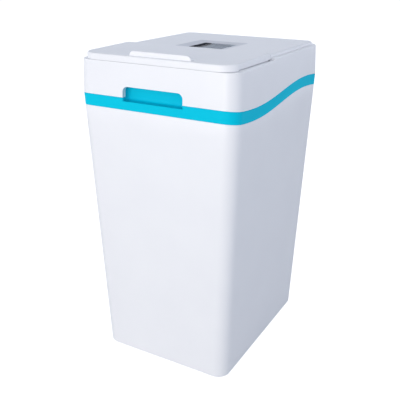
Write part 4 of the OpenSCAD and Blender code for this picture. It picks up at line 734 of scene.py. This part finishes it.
# Window bezel: a pale grey ABS frame clipped into the deck from below. Its broad sloping walls lead from
# the deck down to the display.
bezel_in = np.array([41.0, 42.0])
bezel_out = window_half - seat_fit
bezel_corner_r = 4.0
bezel_sink = 3.2
bezel_proud = 0.05
bezel_bevel = (0.4, 0.3)
bezel_lip = (0.6, 0.15)
bezel_lap = 4.0
bezel_lap_z = deck_z - cover_t - seat_fit
bezel_low = bezel_lap_z - 3.0
bezel_stops = [
    (window_half + bezel_lap, bezel_low), (window_half + bezel_lap, bezel_lap_z), (bezel_out, bezel_lap_z),
    (bezel_out, deck_z - bezel_bevel[1]), (bezel_out - bezel_bevel[0], deck_z + bezel_proud),
    (bezel_in + bezel_lip[0], deck_z - bezel_sink + bezel_lip[1]),
    (bezel_in, deck_z - bezel_sink - bezel_bevel[1]), (bezel_in, bezel_low)]
bezel_rows = np.stack([window_ring(half, bezel_corner_r, z) for half, z in bezel_stops])
bezel_quads = grid_quads(*bezel_rows.shape[:2], loop_rows=True)
bezel = put("window_bezel_frame", [(bezel_rows, bezel_quads)], pale_abs)
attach(bezel, "cover")
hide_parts("window_bezel")

# Salt lid: a shallow white ABS tray, upside down, that closes the salt hatch. It turns on two steel pins
# at its rounded rear edge and has a raised lip across its front to lift it by.
lid_t = 3.0
lid_edge_r = 3.2
lid_half_w = 161.5
lid_front = -205.6
lid_corner_r = 31.0
seam_gap = 0.3
skirt_bevel = 0.5
lid_flat = 1.5
skirt_rise = np.array([[0], [skirt_bevel], [lid_flat]])
side_count = 3  # columns along each side, before the skirt steps down
nose_end = np.arcsin((ledge_z + lid_gap - hinge_z) / nose_r)
nose_half_w = ear_in - slide_fit
step_turn = np.arcsin((lid_front + lid_corner_r - front_cut + lid_gap) / lid_corner_r)


def lid_top(y):
    """The height of the lid's top, which climbs a little from its front edge to the hinge."""
    return deck_z + lid_rise[0] + (lid_rise[1] - lid_rise[0]) * (y - lid_front) / (hinge_y - lid_front)


def lid_edge(inset):
    """How far each row of the lid's skin lies in from its sides and below its top: three rows of skirt,
    the rounded upper edge and two rows on top."""
    sharpest_r = 0.2
    round_r = max(lid_edge_r - inset, sharpest_r)
    turn = np.linspace(0, np.pi / 2, 8)
    tuck = np.concatenate([[0, 0, 0], round_r * (1 - np.cos(turn)), [round_r + lid_flat] * 2]) + inset
    tuck[0] += skirt_bevel if inset == 0 else 0
    drop = np.concatenate([[0, 0, 0], round_r * (1 - np.sin(turn)), [0, 0]]) + inset
    return tuck[:, None], drop[:, None]


def lid_rows(inset):
    """Rings of the lid's panel: up its skirt, round its upper edge and in over the top to a pole. The
    skirt is deeper along the front, and the back is open, where the rear edge joins on."""
    arc = np.concatenate([[0, step_turn, step_turn], np.linspace(step_turn, np.pi / 2, 12)[1:]])
    tuck, drop = lid_edge(inset)
    r = lid_corner_r - tuck
    x = np.hstack([tuck - lid_half_w, tuck - lid_half_w + r - r * np.cos(arc)])
    y = np.hstack([0 * tuck + hinge_y, lid_front + tuck + r - r * np.sin(arc)])
    z = lid_top(y) - drop
    at_side = np.arange(y.shape[1]) < side_count
    z[:3] = np.where(at_side, ledge_z + lid_gap, seam_z + seam_gap) + skirt_rise
    z[2, at_side] = hinge_z
    left = np.stack([x, y, z], axis=-1)
    rings = np.concatenate([left, (left * [-1, 1, 1])[:, ::-1]], axis=1)
    pole_y = (lid_front + hinge_y) / 2
    rings[-1] = [0, pole_y, lid_top(pole_y) - inset]
    return rings


def nose_rows(inset):
    """The lid's rear edge: the outline across the lid, from the hinge up one side, over the top and down
    the other, turned about the hinge axis."""
    tuck, drop = (row[2:-1, 0] for row in lid_edge(inset))
    reach = nose_r - drop
    reach[0] = 0
    x = np.concatenate([tuck - lid_half_w, (lid_half_w - tuck)[::-1]])
    turn = np.linspace(np.pi / 2, nose_end, 12)[:, None]
    return about_hinge(x, np.concatenate([reach, reach[::-1]]), turn)


# The panel has no quads where its skirt steps down, or across its open back except at the pole.
lid_skin, nose_skin = lid_rows(0.0), nose_rows(0.0)
lid_quads = grid_quads(*lid_skin.shape[:2])
lid_kept = np.ones(lid_quads.shape[:2], bool)
lid_kept[:, [side_count - 1, -side_count - 1]] = False
lid_kept[:-1, -1] = False
nose_quads = grid_quads(*nose_skin.shape[:2], loop_cols=False) + lid_skin.size // 3
lid_shell = shell(np.concatenate([lid_skin.reshape(-1, 3), nose_skin.reshape(-1, 3)]),
                  np.concatenate([lid_rows(lid_t).reshape(-1, 3), nose_rows(lid_t).reshape(-1, 3)]),
                  np.concatenate([lid_quads[lid_kept], nose_quads.reshape(-1, 4)]))
tab_half_w = 65.0
tab_x = 13.0
tab_front = lid_front + 6.0
tab_rise = 9.0
tab_len = 12.0
tab_edge_r = 1.6
tab_crest = 0.12  # the share of the tab's length where its top starts to fall
tab_sunk = 1.5
tab_corner_r = 8.0
tab_corner_w = 11.0


def tab_rows():
    """The raised lip: an upright front with a rounded top that falls back to the lid along half a cosine,
    carried across the lid and cut off at its ends by the rounding of its upper corners."""
    turn = np.linspace(0, np.pi / 2, 6)
    back = np.linspace(tab_crest, 1, 9)
    fall = 0.5 + 0.5 * np.cos(np.pi * (back - tab_crest) / (1 - tab_crest))
    y = np.concatenate([[0, 0], tab_edge_r * (1 - np.cos(turn)), tab_len * back, [tab_len]])
    z = np.concatenate([[-tab_sunk, 0], tab_rise - tab_edge_r * (1 - np.sin(turn)), tab_rise * fall,
                        [-tab_sunk]])
    end = np.linspace(np.pi / 2, 0, 10)
    x = tab_half_w - tab_corner_w * (1 - np.sin(end))
    x = tab_x + np.concatenate([-x, [0], x[::-1]])[:, None]
    round_z = tab_rise - tab_corner_r * (1 - np.cos(end))
    roof = np.concatenate([round_z, [tab_rise], round_z[::-1]])[:, None]
    rows = capped(np.stack([x + 0 * y, tab_front + y + 0 * roof, lid_top(tab_front) + np.minimum(z, roof)],
                           axis=-1))
    return rows, grid_quads(*rows.shape[:2])[..., ::-1]


cheek_w = 8.0
cheek_r = nose_r - 0.8
lid = put("salt_lid_shell", [
    lid_shell, hinge_cheek(-nose_half_w, cheek_w - nose_half_w, cheek_r),
    hinge_cheek(nose_half_w - cheek_w, nose_half_w, cheek_r), tab_rows(),
], white_abs)
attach(lid, "lid")
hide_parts("salt_lid")
dress(nitrile, "lid_bumpers")

# Studio: a pale floor, a soft light from the front and a little to the left, pale blue light from all
# round, and the camera where the photograph was taken from. Seen directly, floor and sky are white.
floor_half = 6.0
floor_corners = [(x * floor_half, y * floor_half, 0) for x, y in ((-1, -1), (1, -1), (1, 1), (-1, 1))]
floor_mesh = bpy.data.meshes.new("studio_floor")
floor_mesh.from_pydata(floor_corners, [], [(0, 1, 2, 3)])
floor = bpy.data.objects.new("studio_floor", floor_mesh)
bpy.context.scene.collection.objects.link(floor)
floor_paint = bpy.data.materials.new("white_floor")
floor_paint.use_nodes = True
floor_tree = floor_paint.node_tree
floor_seen = add_node(floor_tree, "LightPath").outputs["Is Camera Ray"]
floor_glow = add_node(floor_tree, "Mix", {"Factor": floor_seen, "A": 0.0, "B": 0.8})
plug(floor_tree, floor_tree.nodes["Principled BSDF"], {
    "Base Color": linear("#d6d7d9"), "Roughness": 0.9, "Specular IOR Level": 0.0,
    "Emission Color": linear("#ffffff"), "Emission Strength": floor_glow.outputs["Result"]})
floor_mesh.materials.append(floor_paint)

horizon_light = 1.32
overhead_light = 0.28
seen_light = 1.05
sky_blue = (0.874, 0.925, 1.036, 1)
sky = bpy.data.worlds.new("studio_light")
sky.use_nodes = True
sky_tree = sky.node_tree
sky_way = add_node(sky_tree, "SeparateXYZ", {"Vector": add_node(sky_tree, "TexCoord").outputs["Generated"]})
sky_fall = add_node(sky_tree, "MapRange", {"Value": sky_way.outputs["Z"], "From Min": 0.0, "From Max": 1.0,
                                           "To Min": horizon_light, "To Max": overhead_light})
sky_seen = add_node(sky_tree, "LightPath").outputs["Is Camera Ray"]
sky_level = add_node(sky_tree, "Mix", {"Factor": sky_seen, "A": sky_fall.outputs["Result"], "B": seen_light})
sky_tint = add_node(sky_tree, "MixRGB", {"Fac": sky_seen, "Color1": sky_blue, "Color2": (1, 1, 1, 1)})
plug(sky_tree, sky_tree.nodes["Background"], {"Strength": sky_level.outputs["Result"],
                                              "Color": sky_tint.outputs["Color"]})
bpy.context.scene.world = sky

aim = Vector((0, 0, 0.33))
key = bpy.data.lights.new("front_left_softbox", "AREA")
key.shape = "DISK"
key.size = 2.6
key.energy = 56.0
key.color = (1.0, 0.93, 0.82)
key_lamp = bpy.data.objects.new("front_left_softbox", key)
key_lamp.location = (-0.35, -3.7, 0.75)
key_lamp.rotation_mode = "QUATERNION"
key_lamp.rotation_quaternion = (key_lamp.location - aim).to_track_quat("Z", "Y")
bpy.context.scene.collection.objects.link(key_lamp)

camera_turn, camera_rise, camera_roll = np.radians([28.915, 21.026, 0.422])
camera_far = 1.3541
photo_px = 400
focal_px = 602.45
axis_px = (206.255, 190.723)
right = Vector((np.cos(camera_turn), np.sin(camera_turn), 0))
back = Vector((np.sin(camera_turn) * np.cos(camera_rise), -np.cos(camera_turn) * np.cos(camera_rise),
               np.sin(camera_rise)))
up = back.cross(right)
tilted = (right * np.cos(camera_roll) + up * np.sin(camera_roll),
          up * np.cos(camera_roll) - right * np.sin(camera_roll), back)
lens = bpy.data.cameras.new("photo_camera")
lens.sensor_width = 36.0
lens.lens = focal_px / photo_px * lens.sensor_width
lens.shift_x = (photo_px / 2 - axis_px[0]) / photo_px
lens.shift_y = (axis_px[1] - photo_px / 2) / photo_px
camera = bpy.data.objects.new("photo_camera", lens)
camera.matrix_world = Matrix.Translation(aim + back * camera_far) @ Matrix(tilted).transposed().to_4x4()
bpy.context.scene.collection.objects.link(camera)
bpy.context.scene.camera = camera
bpy.context.scene.view_settings.view_transform = "Standard"
